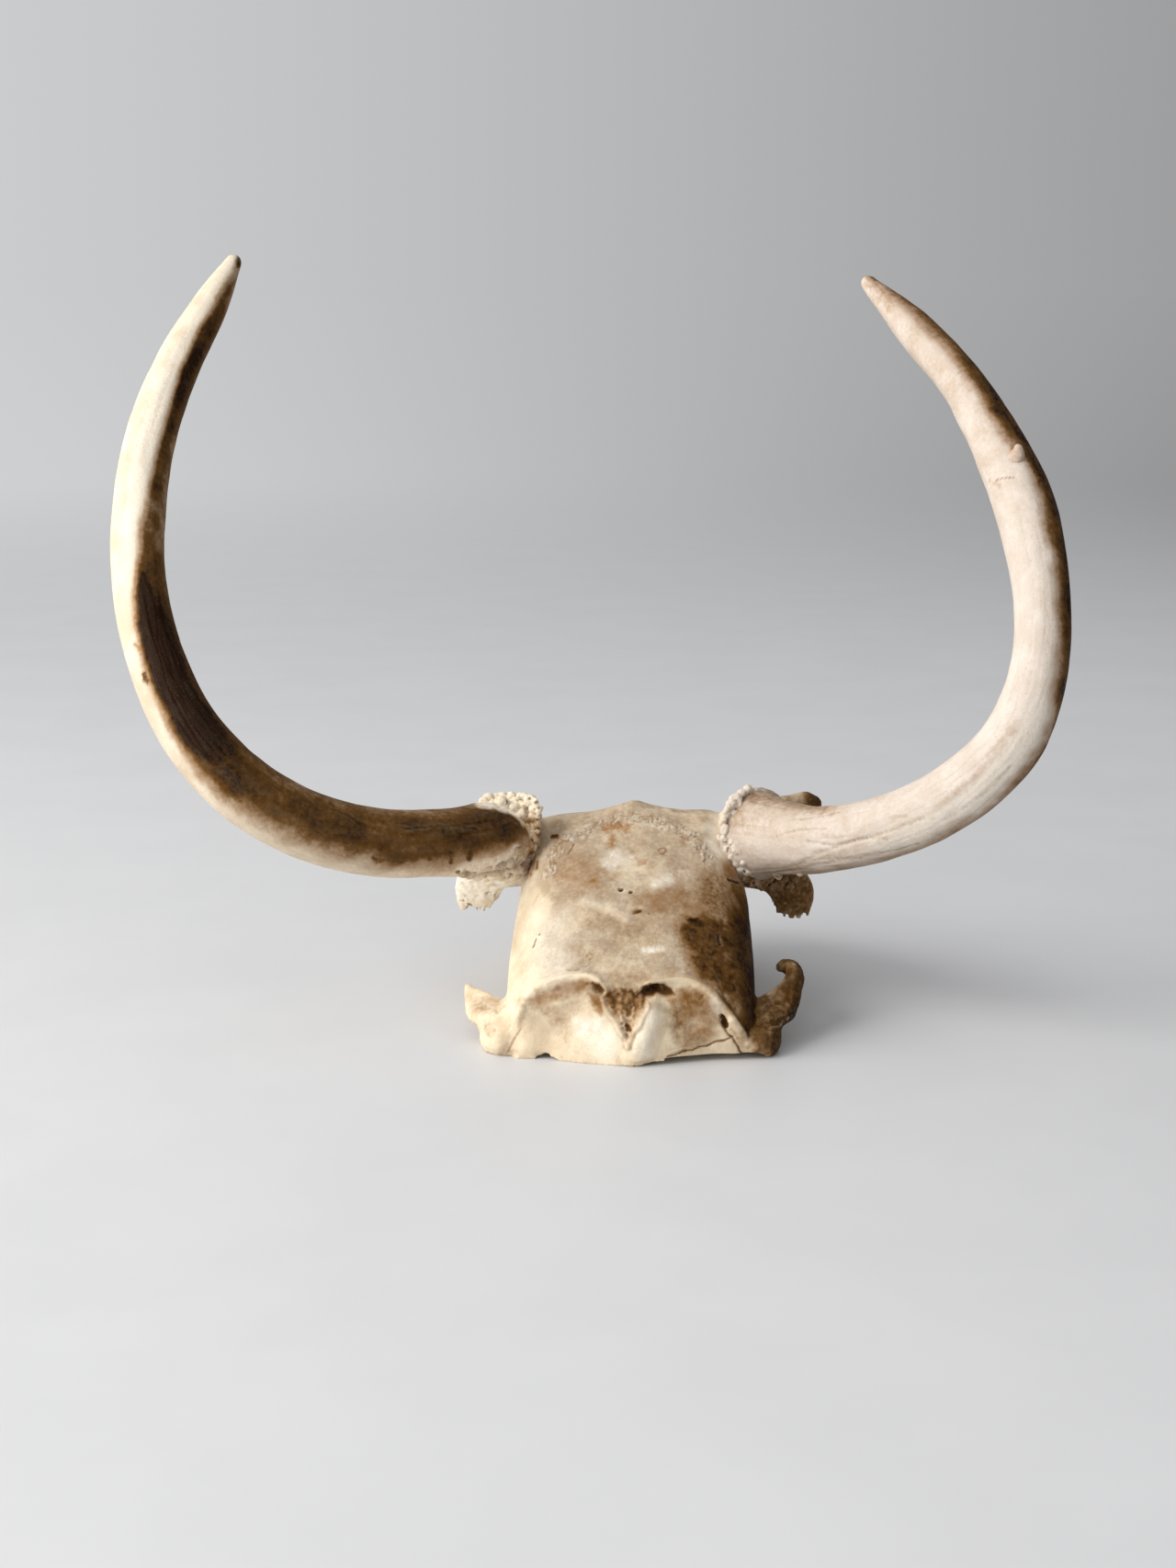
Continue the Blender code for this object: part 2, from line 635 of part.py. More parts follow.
def build_skull(parts, tools):
    """The whole skull cap before it is parted."""
    count = int(round((SKULL_FRONT - SKULL_REAR) / STATION_STEP)) + 1
    stations = np.linspace(SKULL_REAR, SKULL_FRONT, count)
    skull = loft("skull", [skull_ring(float(y)) for y in stations], parts)

    levels = [row[0] for row in OCCIPUT]
    plate = loft("occiput", [occiput_ring(z) for z in levels], tools)
    skull = absorb(skull, plate, "UNION", parts)

    crest = path_at(list(CREST) + [(-x, y, z, r) for x, y, z, r in CREST[-2::-1]], CREST_STEP)
    ridge = tube("crest", crest[:, :3], crest[:, 3], CREST_SIDES, tools)
    skull = absorb(skull, ridge, "UNION", parts)
    knob = path_at(PROTUBERANCE, PROTUBERANCE_STEP)
    boss = tube("boss", knob[:, :3], knob[:, 3], PROTUBERANCE_SIDES, tools)
    skull = absorb(skull, boss, "UNION", parts)

    for side in (-1.0, 1.0):
        bpy.ops.mesh.primitive_uv_sphere_add(segments=14, ring_count=8, radius=1.0)
        lobe = bpy.context.object
        centre = (side * MASTOID_CENTRE[0], MASTOID_CENTRE[1], MASTOID_CENTRE[2])
        for vert in lobe.data.vertices:
            vert.co = Vector([(c + r * v) * MM for c, r, v in zip(centre, MASTOID_RADII, vert.co)])
        skull = absorb(skull, lobe, "UNION", parts)
    for rows in (ZYGOMATIC_LEFT, ZYGOMATIC_RIGHT, ORBIT_HORN_LEFT, ORBIT_HORN_RIGHT):
        skull = absorb(skull, process("process", rows, tools), "UNION", parts)
    for beam in (BEAM_LEFT, BEAM_RIGHT):
        skull = absorb(skull, pedicle(beam, tools), "UNION", parts, CAP_SOLVER)

    for rows in (BRAIN_CAVITY, NASAL_CAVITY):
        hollow = loft("hollow", [cavity_ring(*row) for row in rows], tools)
        skull = absorb(skull, hollow, "DIFFERENCE", parts, CAP_SOLVER)

    rise = (REACH - FRONT_LIFT_START) * FRONT_LIFT_SLOPE
    underside = (
        (-REACH, -REACH), (REACH, -REACH), (REACH, rise), (FRONT_LIFT_START, 0.0), (-REACH, 0.0),
    )
    saw = prism("saw", underside, "x", -REACH, REACH, 0.0, tools)
    skull = absorb(skull, saw, "DIFFERENCE", parts, CAP_SOLVER)
    for low, high, height in (RELIEF_RIGHT, RELIEF_LEFT):
        outline = (
            (low, -RELIEF_DROP), (high, -RELIEF_DROP),
            (high - RELIEF_TAPER, height), (low + RELIEF_TAPER, height),
        )
        relief = prism("relief", outline, "y", -REACH, RELIEF_FRONT, 0.0, tools)
        skull = absorb(skull, relief, "DIFFERENCE", parts, CAP_SOLVER)
    notch = prism("notch", NASAL_NOTCH, "z", -REACH, REACH, 0.0, tools)
    return absorb(skull, notch, "DIFFERENCE", parts, CAP_SOLVER)


def burr_axis(beam):
    """Centre of the burr and the outward direction of the antler there."""
    centre = np.array(beam[0][:3])
    heading = np.array(beam[1][:3]) - centre
    return centre, heading / np.linalg.norm(heading)


def pedicle(beam, coll):
    """Bony stalk from the frontal bone to the burr, its end square to the antler."""
    centre, heading = burr_axis(beam)
    side = math.copysign(1.0, centre[0])
    face = centre - heading * (BURR_HALF_THICKNESS + SUTURE_GAP)
    neck = face - heading * PEDICLE_NECK
    root = np.array([side * PEDICLE_ROOT[0], PEDICLE_ROOT[1], PEDICLE_ROOT[2]])
    points = [root + (neck - root) * t for t in np.linspace(0.0, 1.0, PEDICLE_RINGS)] + [face]
    radii = [PEDICLE_RADIUS + PEDICLE_FLARE * (t - 1.0) for t in np.linspace(0.0, 1.0, len(points))]
    return tube("pedicle", points, radii, PEDICLE_SIDES, coll)


def burr(name, beam, radius, grow, coll):
    """Knobbed ring at the foot of the antler: a disc with a rounded, lumpy edge."""
    centre, heading = burr_axis(beam)
    side = np.cross(heading, (0.0, 0.0, 1.0))
    side = side / np.linalg.norm(side)
    other = np.cross(side, heading)
    rings = []
    for along, share in BURR_PROFILE:
        ring = []
        for j in range(BURR_SEGMENTS):
            angle = 2.0 * math.pi * j / BURR_SEGMENTS
            knob = 0.55 * math.sin(BURR_KNOBS * angle) + 0.45 * math.sin(BURR_WAVES * angle + 1.3)
            reach = radius * share + BURR_KNOB_HEIGHT * knob * share + grow
            offset = side * math.cos(angle) + other * math.sin(angle)
            depth = along * (BURR_HALF_THICKNESS + grow)
            ring.append(centre + heading * depth + offset * reach)
        rings.append(ring)
    return loft(name, rings, coll)


def beam_solid(name, beam, grow, coll):
    """Curved main beam with a rounded tip, starting square at the burr's outer face."""
    centre, heading = burr_axis(beam)
    path = path_at(beam, BEAM_STEP)
    points = path[:, :3]
    radii = path[:, 3] * 0.5 + grow
    foot = centre + heading * (BURR_HALF_THICKNESS + SUTURE_GAP - grow)
    collar = foot + heading * BEAM_COLLAR
    keep = [i for i, p in enumerate(points) if float((p - collar) @ heading) > BEAM_COLLAR]
    ending = points[-1] - points[-2]
    tip = points[-1] + ending / np.linalg.norm(ending) * TIP_LENGTH
    points = np.vstack([foot, collar, points[keep], tip])
    radii = np.concatenate([radii[[0, 0]], radii[keep], radii[-1:] * TIP_SHARE])
    return tube(name, points, radii, BEAM_SIDES, coll)


def branch(name, rows, neighbours, parts, tools):
    """Short tine set against its beam, with a fine gap."""
    path = path_at(rows, BRANCH_STEP)
    solid = tube(name, path[:, :3], path[:, 3], BRANCH_SIDES, tools)
    for make in neighbours:
        solid = absorb(solid, make(), "DIFFERENCE", parts)
    return solid


def bone_material(name, look):
    """Bone or antler with its own colour and roughness."""
    mat = bpy.data.materials.new(name)
    mat.use_nodes = True
    shader = mat.node_tree.nodes["Principled BSDF"]
    shader.inputs["Base Color"].default_value = (look[0], look[1], look[2], 1.0)
    shader.inputs["Roughness"].default_value = look[3]
    shader.inputs["Metallic"].default_value = 0.0
    mat.diffuse_color = (look[0], look[1], look[2], 1.0)
    return mat


def finish(obj, name, look):
    """Name, clean and shade one sub-part."""
    obj.name = name
    obj.data.name = name
    clean(obj)
    obj.data.materials.clear()
    obj.data.materials.append(bone_material(name + "_surface", look))
    obj.data.shade_smooth()
    obj.data.set_sharp_from_angle(angle=math.radians(40.0))


def side_block(low, high):
    """Plan outline that takes one side of the midline."""
    return ((low, -REACH), (high, -REACH), (high, REACH), (low, REACH))


def coronal_outline():
    """Plan of the frontal region, behind an arched suture."""
    points = [(-REACH, REACH), (-REACH, CORONAL_SIDE)]
    for i in range(CORONAL_STEPS + 1):
        u = 2.0 * i / CORONAL_STEPS - 1.0
        y = CORONAL_CENTRE - (CORONAL_CENTRE - CORONAL_SIDE) * u * u
        points.append((u * CORONAL_HALF_WIDTH, y))
    return points + [(REACH, CORONAL_SIDE), (REACH, REACH)]


def part_bones(skull, parts, tools):
    """Split the skull cap into its bones along the sutures."""
    def cut(rest, outline, axis, low, high, name):
        return peel(rest, lambda g: prism("c", outline, axis, low, high, g, tools), name, parts)

    occipital, skull = cut(skull, OCCIPITAL_SUTURE, "y", -REACH, OCCIPITAL_FRONT, "occipital")
    finish(occipital, "occipital", BONE_BROWN)
    for label, side in SIDES:
        low, high = sorted((side * SQUAMOUS_INNER, side * REACH))
        name = "temporal_" + label
        temporal, skull = cut(skull, SQUAMOUS_SUTURE, "x", low, high, name)
        finish(temporal, name, BONE_CREAM)
    middle = side_block(-REACH, -SUTURE_GAP * 0.5)
    halves = cut(skull, middle, "z", -REACH, REACH, "half")
    for (label, side), half in zip(SIDES, halves):
        low, high = sorted((-side * ORBIT_WALL_INNER, side * ORBIT_WALL_OUTER))
        wall, half = cut(half, ORBIT_SUTURE, "x", low, high, "orbit_wall")
        frontal, parietal = cut(half, coronal_outline(), "z", -REACH, REACH, "frontal")
        finish(wall, "orbit_wall_" + label, BONE_CREAM)
        finish(frontal, "frontal_" + label, BONE_CREAM)
        finish(parietal, "parietal_" + label, BONE_GREY)


def build_antler(label, beam, radius, brow, look, parts, tools):
    """Burr, main beam and brow tine of one side."""
    ring = burr("burr", beam, radius, 0.0, parts)
    finish(ring, "burr_" + label, BURR_CREAM)
    shaft = beam_solid("beam", beam, 0.0, parts)
    finish(shaft, "beam_" + label, look)
    neighbours = (
        lambda: beam_solid("c", beam, SUTURE_GAP, tools),
        lambda: burr("c", beam, radius, SUTURE_GAP, tools),
    )
    tine = branch("brow", brow, neighbours, parts, tools)
    finish(tine, "brow_tine_" + label, BURR_CREAM)


def main():
    clear_scene()
    parts = make_collection("deer_skull")
    tools = make_collection("cutters")
    skull = build_skull(parts, tools)
    for beam, radius in ((BEAM_LEFT, BURR_RADIUS_LEFT), (BEAM_RIGHT, BURR_RADIUS_RIGHT)):
        seat = burr("seat", beam, radius, SEAT_GAP, tools)
        skull = absorb(skull, seat, "DIFFERENCE", parts, CAP_SOLVER)
        room = beam_solid("room", beam, SUTURE_GAP, tools)
        skull = absorb(skull, room, "DIFFERENCE", parts, CAP_SOLVER)
    part_bones(skull, parts, tools)

    build_antler("left", BEAM_LEFT, BURR_RADIUS_LEFT, BROW_LEFT, ANTLER_BROWN, parts, tools)
    build_antler("right", BEAM_RIGHT, BURR_RADIUS_RIGHT, BROW_RIGHT, ANTLER_PALE, parts, tools)
    beside = (lambda: beam_solid("c", BEAM_RIGHT, SUTURE_GAP, tools),)
    stub = branch("stub", TINE_STUB, beside, parts, tools)
    finish(stub, "tine_stub_right", BONE_CREAM)


main()
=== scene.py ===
"""Looks for the deer skull cap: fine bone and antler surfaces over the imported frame.

Sizes in the tables are millimetres. Marks on the bone are placed by rays from the photo's
camera, given as pixels of its 1280 x 1707 frame, and they stay on the surface they hit.
"""

import math
from itertools import product

import bmesh
import bpy
import numpy as np
from mathutils import Matrix, Vector
from mathutils.bvhtree import BVHTree


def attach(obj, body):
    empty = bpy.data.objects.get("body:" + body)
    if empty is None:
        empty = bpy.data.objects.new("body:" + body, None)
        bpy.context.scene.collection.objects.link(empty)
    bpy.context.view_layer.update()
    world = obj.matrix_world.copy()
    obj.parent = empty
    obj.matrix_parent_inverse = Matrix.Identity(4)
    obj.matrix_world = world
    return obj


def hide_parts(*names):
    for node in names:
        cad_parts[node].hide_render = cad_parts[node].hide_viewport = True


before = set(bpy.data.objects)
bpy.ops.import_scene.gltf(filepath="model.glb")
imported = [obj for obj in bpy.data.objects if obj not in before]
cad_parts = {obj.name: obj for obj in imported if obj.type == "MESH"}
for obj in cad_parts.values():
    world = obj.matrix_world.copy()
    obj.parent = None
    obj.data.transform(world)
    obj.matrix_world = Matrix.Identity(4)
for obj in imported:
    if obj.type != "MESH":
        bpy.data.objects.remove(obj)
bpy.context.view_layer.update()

MM = 0.001
BONE_VOXEL = 0.45
BURR_VOXEL = 0.34
# Painted marks that every skin carries: stains, and in places painted shade (umber, tan, grey) and painted
# light (chalk).
CHANNELS = ("tan", "umber", "chalk", "amber", "grey", "rough", "grain")

# Camera of the photo: place in mm, pitch down and turn in degrees, focal length in pixels.
CAMERA = np.array([15.424, -781.96, 249.0])
CAMERA_PITCH = 11.38
CAMERA_TURN = 2.1
FOCAL = 2750.0
PHOTO = (1280, 1707)
PIXELS_PER_MM = 3.3

# ---------------------------------------------------------------- shape tables

# Braincase: y, half width, height of that width, roof, roundness power, half width at the base.
BRAINCASE = (
    (2, 36, 6, 26, 2.5, 37.5), (8, 39.5, 8, 31, 2.5, 41), (16, 41, 9, 37.5, 2.5, 42),
    (26, 41.3, 11, 44.5, 2.5, 42), (36, 41.3, 13, 51, 2.7, 41.8), (46, 41, 15, 57, 2.9, 41),
    (56, 40.4, 18, 62.5, 3.1, 40.2), (66, 38.4, 22, 67, 3.3, 38), (76, 32, 26, 68, 3.2, 32),
    (138, 26, 26, 47, 3, 26),
)
# Frontal region: y, rim's half width, roof, its fall to the rim, rim thickness, wall's half width,
# height of the orbit's vault, top of the wall, half width at the base.
FRONTAL = (
    (54, 30, 61.5, 6, 10, 40.4, 46, 34, 40.5), (62, 33, 65.5, 6, 10, 39.2, 48, 36, 39.3),
    (70, 36, 68.4, 6.5, 10, 35.8, 50, 38, 36), (78, 45, 67.6, 10.5, 8.5, 30, 53, 39, 31),
    (84, 54, 66, 14, 7, 26.5, 56, 39, 28), (92, 58, 63.4, 14.5, 6, 23, 57, 38, 25),
    (100, 57, 60.4, 14, 6, 21.5, 55, 36, 24), (108, 51.5, 57.2, 12.5, 6, 22.5, 51, 34, 24.5),
    (116, 42.5, 54.2, 11, 7, 26, 41, 28, 26), (124, 35, 51, 9.5, 8.5, 28, 32, 23, 27),
    (132, 30.5, 47.4, 8.5, 8.5, 26.5, 27.5, 19, 25), (138, 28, 44.6, 8, 8, 25, 25.5, 17, 23),
)
# Occipital plate: z, half width, how far its middle lies behind y = 0.
OCCIPUT = (
    (-8, 44, 4.6), (0, 43.5, 4.6), (6, 41.5, 4.4), (12, 37, 3.4), (17, 33.5, 2), (20, 29.5, -0.6),
    (23, 24, -2.4), (26, 15, -4.4),
)
# Flat processes: x, y, z, half width, half thickness, direction of the thickness.
ZYGOMATIC_LEFT = (
    (-34, 20, 8.4, 11, 6, (0, 0, 1)), (-41.5, 21, 8.8, 10, 5, (0, 0.1, 1)),
    (-46.6, 24, 9, 8, 3.9, (-0.2, 0, 1)), (-50.4, 29.5, 9.4, 5.6, 2.8, (-0.6, 0, 1)),
    (-53.2, 36, 10.2, 3.8, 2.1, (-1, 0, 0.6)), (-55, 42, 11, 2.2, 1.5, (-1, 0, 0.3)),
    (-56, 46.5, 11.6, 0.9, 0.8, (-1, 0, 0.2)),
)
ZYGOMATIC_RIGHT = (
    (34, 20, 8.4, 11, 6, (0, 0, 1)), (41.5, 21, 9, 10, 5, (0, 0.1, 1)),
    (46.8, 24, 10.4, 7.8, 3.9, (0.3, 0, 1)), (51, 29, 12.8, 5.6, 3, (0.8, 0, 0.8)),
    (53.8, 34, 15.8, 4.9, 2.8, (1, 0, 0.5)), (54.8, 38, 18.6, 4.7, 2.9, (1, 0, 0.4)),
    (53.8, 41.4, 20.2, 5, 2.8, (1, 0, 0.8)), (51.4, 43, 20.7, 4, 2.3, (0.5, 0, 1)),
    (49, 43.8, 19.9, 1.8, 1.4, (0.3, 0, 1)),
)
ORBIT_HORN_LEFT = (
    (-30, 73, 48, 7.5, 5, (0, 1, 0)), (-41, 76.5, 46.5, 7, 4.2, (0, 1, 0)),
    (-49, 78.6, 44.5, 7.2, 3.6, (0, 1, 0)), (-53.8, 79.2, 40.2, 8, 3, (0, 1, 0)),
    (-55.4, 79, 36, 7.4, 2.5, (0, 1, 0.1)), (-55.6, 78.6, 32.2, 5.2, 1.9, (0, 1, 0.1)),
)
ORBIT_HORN_RIGHT = (
    (30, 73, 48, 7.5, 5, (0, 1, 0)), (41, 76.5, 46.5, 7, 4.2, (0, 1, 0)),
    (49.5, 78.6, 44, 7.2, 3.6, (0, 1, 0)), (54.6, 79.2, 39.5, 7.4, 3, (0, 1, 0)),
    (55.8, 79, 35, 7, 2.5, (0, 1, 0.1)), (55.4, 78.6, 30.4, 5.6, 1.9, (0, 1, 0.1)),
)
# Hollows: y, half width, top; both are open through the base.
BRAIN_CAVITY = (
    (9, 12, 6), (12, 26, 20), (18, 32.5, 30), (28, 35, 38.5), (40, 34.5, 46), (52, 32.5, 53), (61, 26, 54),
    (66, 17, 46), (69, 7, 24),
)
NASAL_CAVITY = (
    (88, 5, 16), (92, 11, 34), (100, 14.5, 46), (112, 16.5, 46.5), (124, 19, 43.5), (134, 18.5, 38.5),
    (146, 18, 34.5),
)
# Notch of the nose in the front edge: x, y.
NASAL_NOTCH = (
    (-11, 160), (-9, 137), (-5.5, 128), (0, 122), (5.5, 128), (9, 137), (11, 160),
)
# Beams: x, y, z, diameter.
BEAM_LEFT = (
    (-44.6, 67.2, 60, 24.4), (-52.5, 55.8, 60.8, 23.6), (-64, 43.6, 62.2, 22.6), (-87, 29.5, 65.8, 22.4),
    (-109.5, 21.5, 74.2, 22.4), (-129, 18, 88, 21.6), (-144.5, 20, 106.2, 20), (-155.5, 28, 127, 18.4),
    (-162.5, 40.5, 149, 17.6), (-165.2, 56, 172, 17.4), (-164.2, 74, 195, 16.8), (-158.8, 93, 217.2, 15.4),
    (-149.8, 113, 238.6, 12.2), (-143.2, 128, 254.6, 5),
)
BEAM_RIGHT = (
    (42.6, 68, 60.2, 24.6), (52, 55.6, 62.2, 23.4), (65, 43.2, 64.6, 21.8), (87.5, 29.8, 73.2, 20.8),
    (107.8, 22, 86.4, 21), (123.2, 19, 104.6, 20.2), (130.6, 23, 127, 18.2), (131.6, 33.6, 149.5, 18.2),
    (128.6, 48.2, 171.5, 19.8), (121.2, 65.6, 192.4, 18), (110.6, 86, 212.4, 14.8),
    (95.8, 108.4, 230.7, 12.8), (80.2, 129, 247.1, 4.6),
)
BEAMS = {"left": BEAM_LEFT, "right": BEAM_RIGHT}
MASTOID = (41.5, 15.0, 4.0)
MASTOID_RADII = (8.6, 13.0, 7.0)
PEDICLE_ROOT = (31.0, 80.5, 51.5)
PEDICLE_RADIUS = {"left": 10.2, "right": 11.4}
BURR_HALF = 4.0
BURR_RADIUS = {"left": 14.0, "right": 14.4}
BURR_DROOP = {"left": 2.6, "right": 2.0}
BEAM_RUGGED = {"left": 0.5, "right": 1.0}
BEAM_KNOTS = {"left": 0.5, "right": 1.6}
FOOT_FLARE = {"left": 2.2, "right": 4.0}
# The face is sawn off on a slope that starts at this y.
FACE_CUT = 104.0
FACE_SLOPE = 0.42
FAR = 200.0
# Dark gaps under the base: from x, to x, height.
BASE_GAPS = ((9.0, 47.0, 1.3), (-33.0, -23.0, 1.0))
# Share of the way to the neighbours that one round of smoothing moves a vertex, and the swelling back.
RELAX = 0.5
SWELL_BACK = 1.04


# ---------------------------------------------------------------- small maths

def smoothstep(a, b, x):
    """Ease from 0 at a to 1 at b."""
    t = np.clip((np.asarray(x, dtype=float) - a) / (b - a), 0.0, 1.0)
    return t * t * (3.0 - 2.0 * t)


def ease_out(a, b, x):
    """Ease from 1 at a to 0 at b."""
    return 1.0 - smoothstep(a, b, x)


def hashed(ix, iy, iz, seed):
    """Repeatable number from -1 to 1 for each lattice cell."""
    h = (ix * 374761393 + iy * 668265263 + iz * 1440670441 + seed * 974634777) & 0xFFFFFFFF
    h = ((h ^ (h >> 13)) * 1274126177) & 0xFFFFFFFF
    h = ((h ^ (h >> 15)) * 2246822519) & 0xFFFFFFFF
    return ((h ^ (h >> 16)) & 0xFFFFFF) / 8388607.5 - 1.0


def noise(points, size, seed=0):
    """Smooth noise from -1 to 1 over points, with the given cell size."""
    q = np.asarray(points) / size
    base = np.floor(q).astype(np.int64)
    f = q - base
    f = f * f * f * (f * (f * 6.0 - 15.0) + 10.0)
    out = np.zeros(len(q))
    for corner in product((0, 1), repeat=3):
        weight = 1.0
        for axis, step in enumerate(corner):
            weight = weight * (f[:, axis] if step else 1.0 - f[:, axis])
        out += weight * hashed(*(base + corner).T, seed)
    return out


def fractal(points, size, octaves=3, seed=0):
    """Noise with finer layers added."""
    out = np.zeros(len(points))
    share = 1.0
    for i in range(octaves):
        out += share * noise(points, size / 2 ** i, seed + 17 * i)
        share *= 0.5
    return out / 1.75


def cells(points, size, seed=0):
    """Distance to the nearest scattered point, in cells."""
    q = np.asarray(points) / size
    base = np.floor(q).astype(np.int64)
    best = np.full(len(q), 9.0)
    for step in product((-1, 0, 1), repeat=3):
        cell = base + step
        away = 0.0
        for axis in range(3):
            point = cell[:, axis] + 0.5 + 0.45 * hashed(*cell.T, seed + axis)
            away = away + (point - q[:, axis]) ** 2
        best = np.minimum(best, away)
    return np.sqrt(best)


def warp(points, size, amount, seed=0):
    """Points moved a little by noise, so that marks get uneven edges."""
    moved = np.array(points, dtype=float)
    for axis in range(3):
        moved[:, axis] += amount * noise(points, size, seed + 31 * axis)
    return moved


def table_at(table, value):
    """Row of a station table at a value of its first column, eased between rows."""
    rows = np.array([[float(v) for v in row] for row in table])
    keys = rows[:, 0]
    value = min(max(value, keys[0]), keys[-1])
    k = int(np.clip(np.searchsorted(keys, value) - 1, 0, len(keys) - 2))
    width = keys[k + 1] - keys[k]
    t = (value - keys[k]) / width

    def slope(j):
        low, high = max(j - 1, 0), min(j + 1, len(keys) - 1)
        return (rows[high] - rows[low]) / (keys[high] - keys[low])

    out = (2 * t ** 3 - 3 * t ** 2 + 1) * rows[k]
    out = out + (t ** 3 - 2 * t ** 2 + t) * width * slope(k)
    out = out + (-2 * t ** 3 + 3 * t ** 2) * rows[k + 1]
    return out + (t ** 3 - t ** 2) * width * slope(k + 1)


def spline_path(rows, step):
    """Rows of x, y, z and more, resampled along their length."""
    pts = np.array(rows, dtype=float)
    chord = np.linalg.norm(np.diff(pts[:, :3], axis=0), axis=1)
    arc = np.concatenate([[0.0], np.cumsum(chord)])
    table = [(s, *p) for s, p in zip(arc, pts)]
    count = max(3, int(math.ceil(arc[-1] / step)) + 1)
    return np.array([table_at(table, s)[1:] for s in np.linspace(0.0, arc[-1], count)])


def frames_along(points, start=None):
    """Tangents and two cross directions along a path, carried without twist."""
    tangents = np.gradient(points, axis=0)
    if start is not None:
        tangents[0] = start
    tangents /= np.linalg.norm(tangents, axis=1)[:, None]
    side = np.cross(tangents[0], (0.0, 0.0, 1.0))
    sides = []
    for tangent in tangents:
        side = side - tangent * float(side @ tangent)
        side = side / np.linalg.norm(side)
        sides.append(side)
    sides = np.array(sides)
    return tangents, sides, np.cross(tangents, sides)


# ---------------------------------------------------------------- meshes

def placed(name, data):
    """New object in the scene."""
    obj = bpy.data.objects.new(name, data)
    bpy.context.scene.collection.objects.link(obj)
    return obj


def new_object(name, verts, faces):
    """Mesh object from millimetre vertices."""
    mesh = bpy.data.meshes.new(name)
    verts = np.asarray(verts, dtype=np.float64) * MM
    mesh.from_pydata(verts.tolist(), [], faces)
    return placed(name, mesh)


def quad_mesh(name, verts, quads):
    """Mesh object from arrays of vertices and of four corners a face."""
    mesh = bpy.data.meshes.new(name)
    verts = np.asarray(verts, dtype=np.float32) * MM
    quads = np.asarray(quads, dtype=np.int32)
    mesh.vertices.add(len(verts))
    mesh.vertices.foreach_set("co", verts.ravel())
    mesh.loops.add(quads.size)
    mesh.loops.foreach_set("vertex_index", quads.ravel())
    mesh.polygons.add(len(quads))
    mesh.polygons.foreach_set("loop_start", np.arange(0, quads.size, quads.shape[1], dtype=np.int32))
    mesh.update(calc_edges=True)
    return placed(name, mesh)


def face_outward(obj):
    """Turn the faces of a closed mesh outward."""
    work = bmesh.new()
    work.from_mesh(obj.data)
    bmesh.ops.recalc_face_normals(work, faces=work.faces)
    if work.calc_volume(signed=True) < 0.0:
        bmesh.ops.reverse_faces(work, faces=work.faces)
    work.to_mesh(obj.data)
    work.free()
    return obj


def loft(name, rings):
    """Closed solid through rings of equal count."""
    rings = np.asarray(rings, dtype=float)
    total, count = rings.shape[:2]
    verts = list(rings.reshape(-1, 3))
    faces = []
    for i in range(total - 1):
        for j in range(count):
            k = (j + 1) % count
            low = i * count
            faces.append((low + j, low + k, low + count + k, low + count + j))
    for start in (0, (total - 1) * count):
        verts.append(np.mean(verts[start:start + count], axis=0))
        hub = len(verts) - 1
        for j in range(count):
            faces.append((start + j, start + (j + 1) % count, hub))
    return face_outward(new_object(name, verts, faces))


def tube_rings(rows, sides, start=None):
    """Rings of a round tube through rows of x, y, z, radius."""
    rows = np.asarray(rows, dtype=float)
    _, side, other = frames_along(rows[:, :3], start)
    angles = np.linspace(0.0, 2.0 * math.pi, sides, endpoint=False)
    circle = side[:, None, :] * np.cos(angles)[None, :, None]
    circle = circle + other[:, None, :] * np.sin(angles)[None, :, None]
    return rows[:, None, :3] + circle * rows[:, 3][:, None, None]


def ball(name, centre, radii):
    """Rounded lump."""
    bpy.ops.mesh.primitive_ico_sphere_add(subdivisions=2, radius=1.0)
    lump = bpy.context.object
    lump.name = name
    for vert in lump.data.vertices:
        vert.co = Vector([(c + r * v) * MM for c, r, v in zip(centre, radii, vert.co)])
    return lump


def join_all(name, objects):
    """One mesh object holding several closed solids."""
    work = bmesh.new()
    for obj in objects:
        work.from_mesh(obj.data)
        bpy.data.objects.remove(obj, do_unlink=True)
    mesh = bpy.data.meshes.new(name)
    work.to_mesh(mesh)
    work.free()
    return placed(name, mesh)


def evaluated_copy(obj, name):
    """Mesh of an object with its modifiers, as a new object in its place."""
    bpy.context.view_layer.update()
    depsgraph = bpy.context.evaluated_depsgraph_get()
    mesh = bpy.data.meshes.new_from_object(obj.evaluated_get(depsgraph))
    made = placed(name, mesh)
    bpy.data.objects.remove(obj, do_unlink=True)
    return made


def subtract(target, tool):
    """Cut one closed solid from another."""
    cut = target.modifiers.new("cut", "BOOLEAN")
    cut.operation = "DIFFERENCE"
    cut.solver = "MANIFOLD"
    cut.object = tool
    made = evaluated_copy(target, target.name)
    bpy.data.objects.remove(tool, do_unlink=True)
    return made


def fused(obj, voxel):
    """Overlapping solids turned into one even skin."""
    skin = obj.modifiers.new("skin", "REMESH")
    skin.mode = "VOXEL"
    skin.voxel_size = voxel * MM
    skin.adaptivity = 0.0
    return evaluated_copy(obj, obj.name)


def prism(name, outline, axis, low, high):
    """Block with a flat outline along one axis."""
    verts = []
    for depth in (low, high):
        for u, v in outline:
            verts.append({"x": (depth, u, v), "y": (u, depth, v), "z": (u, v, depth)}[axis])
    count = len(outline)
    faces = [tuple(range(count)), tuple(range(count, 2 * count))]
    for j in range(count):
        k = (j + 1) % count
        faces.append((j, k, count + k, count + j))
    return face_outward(new_object(name, verts, faces))


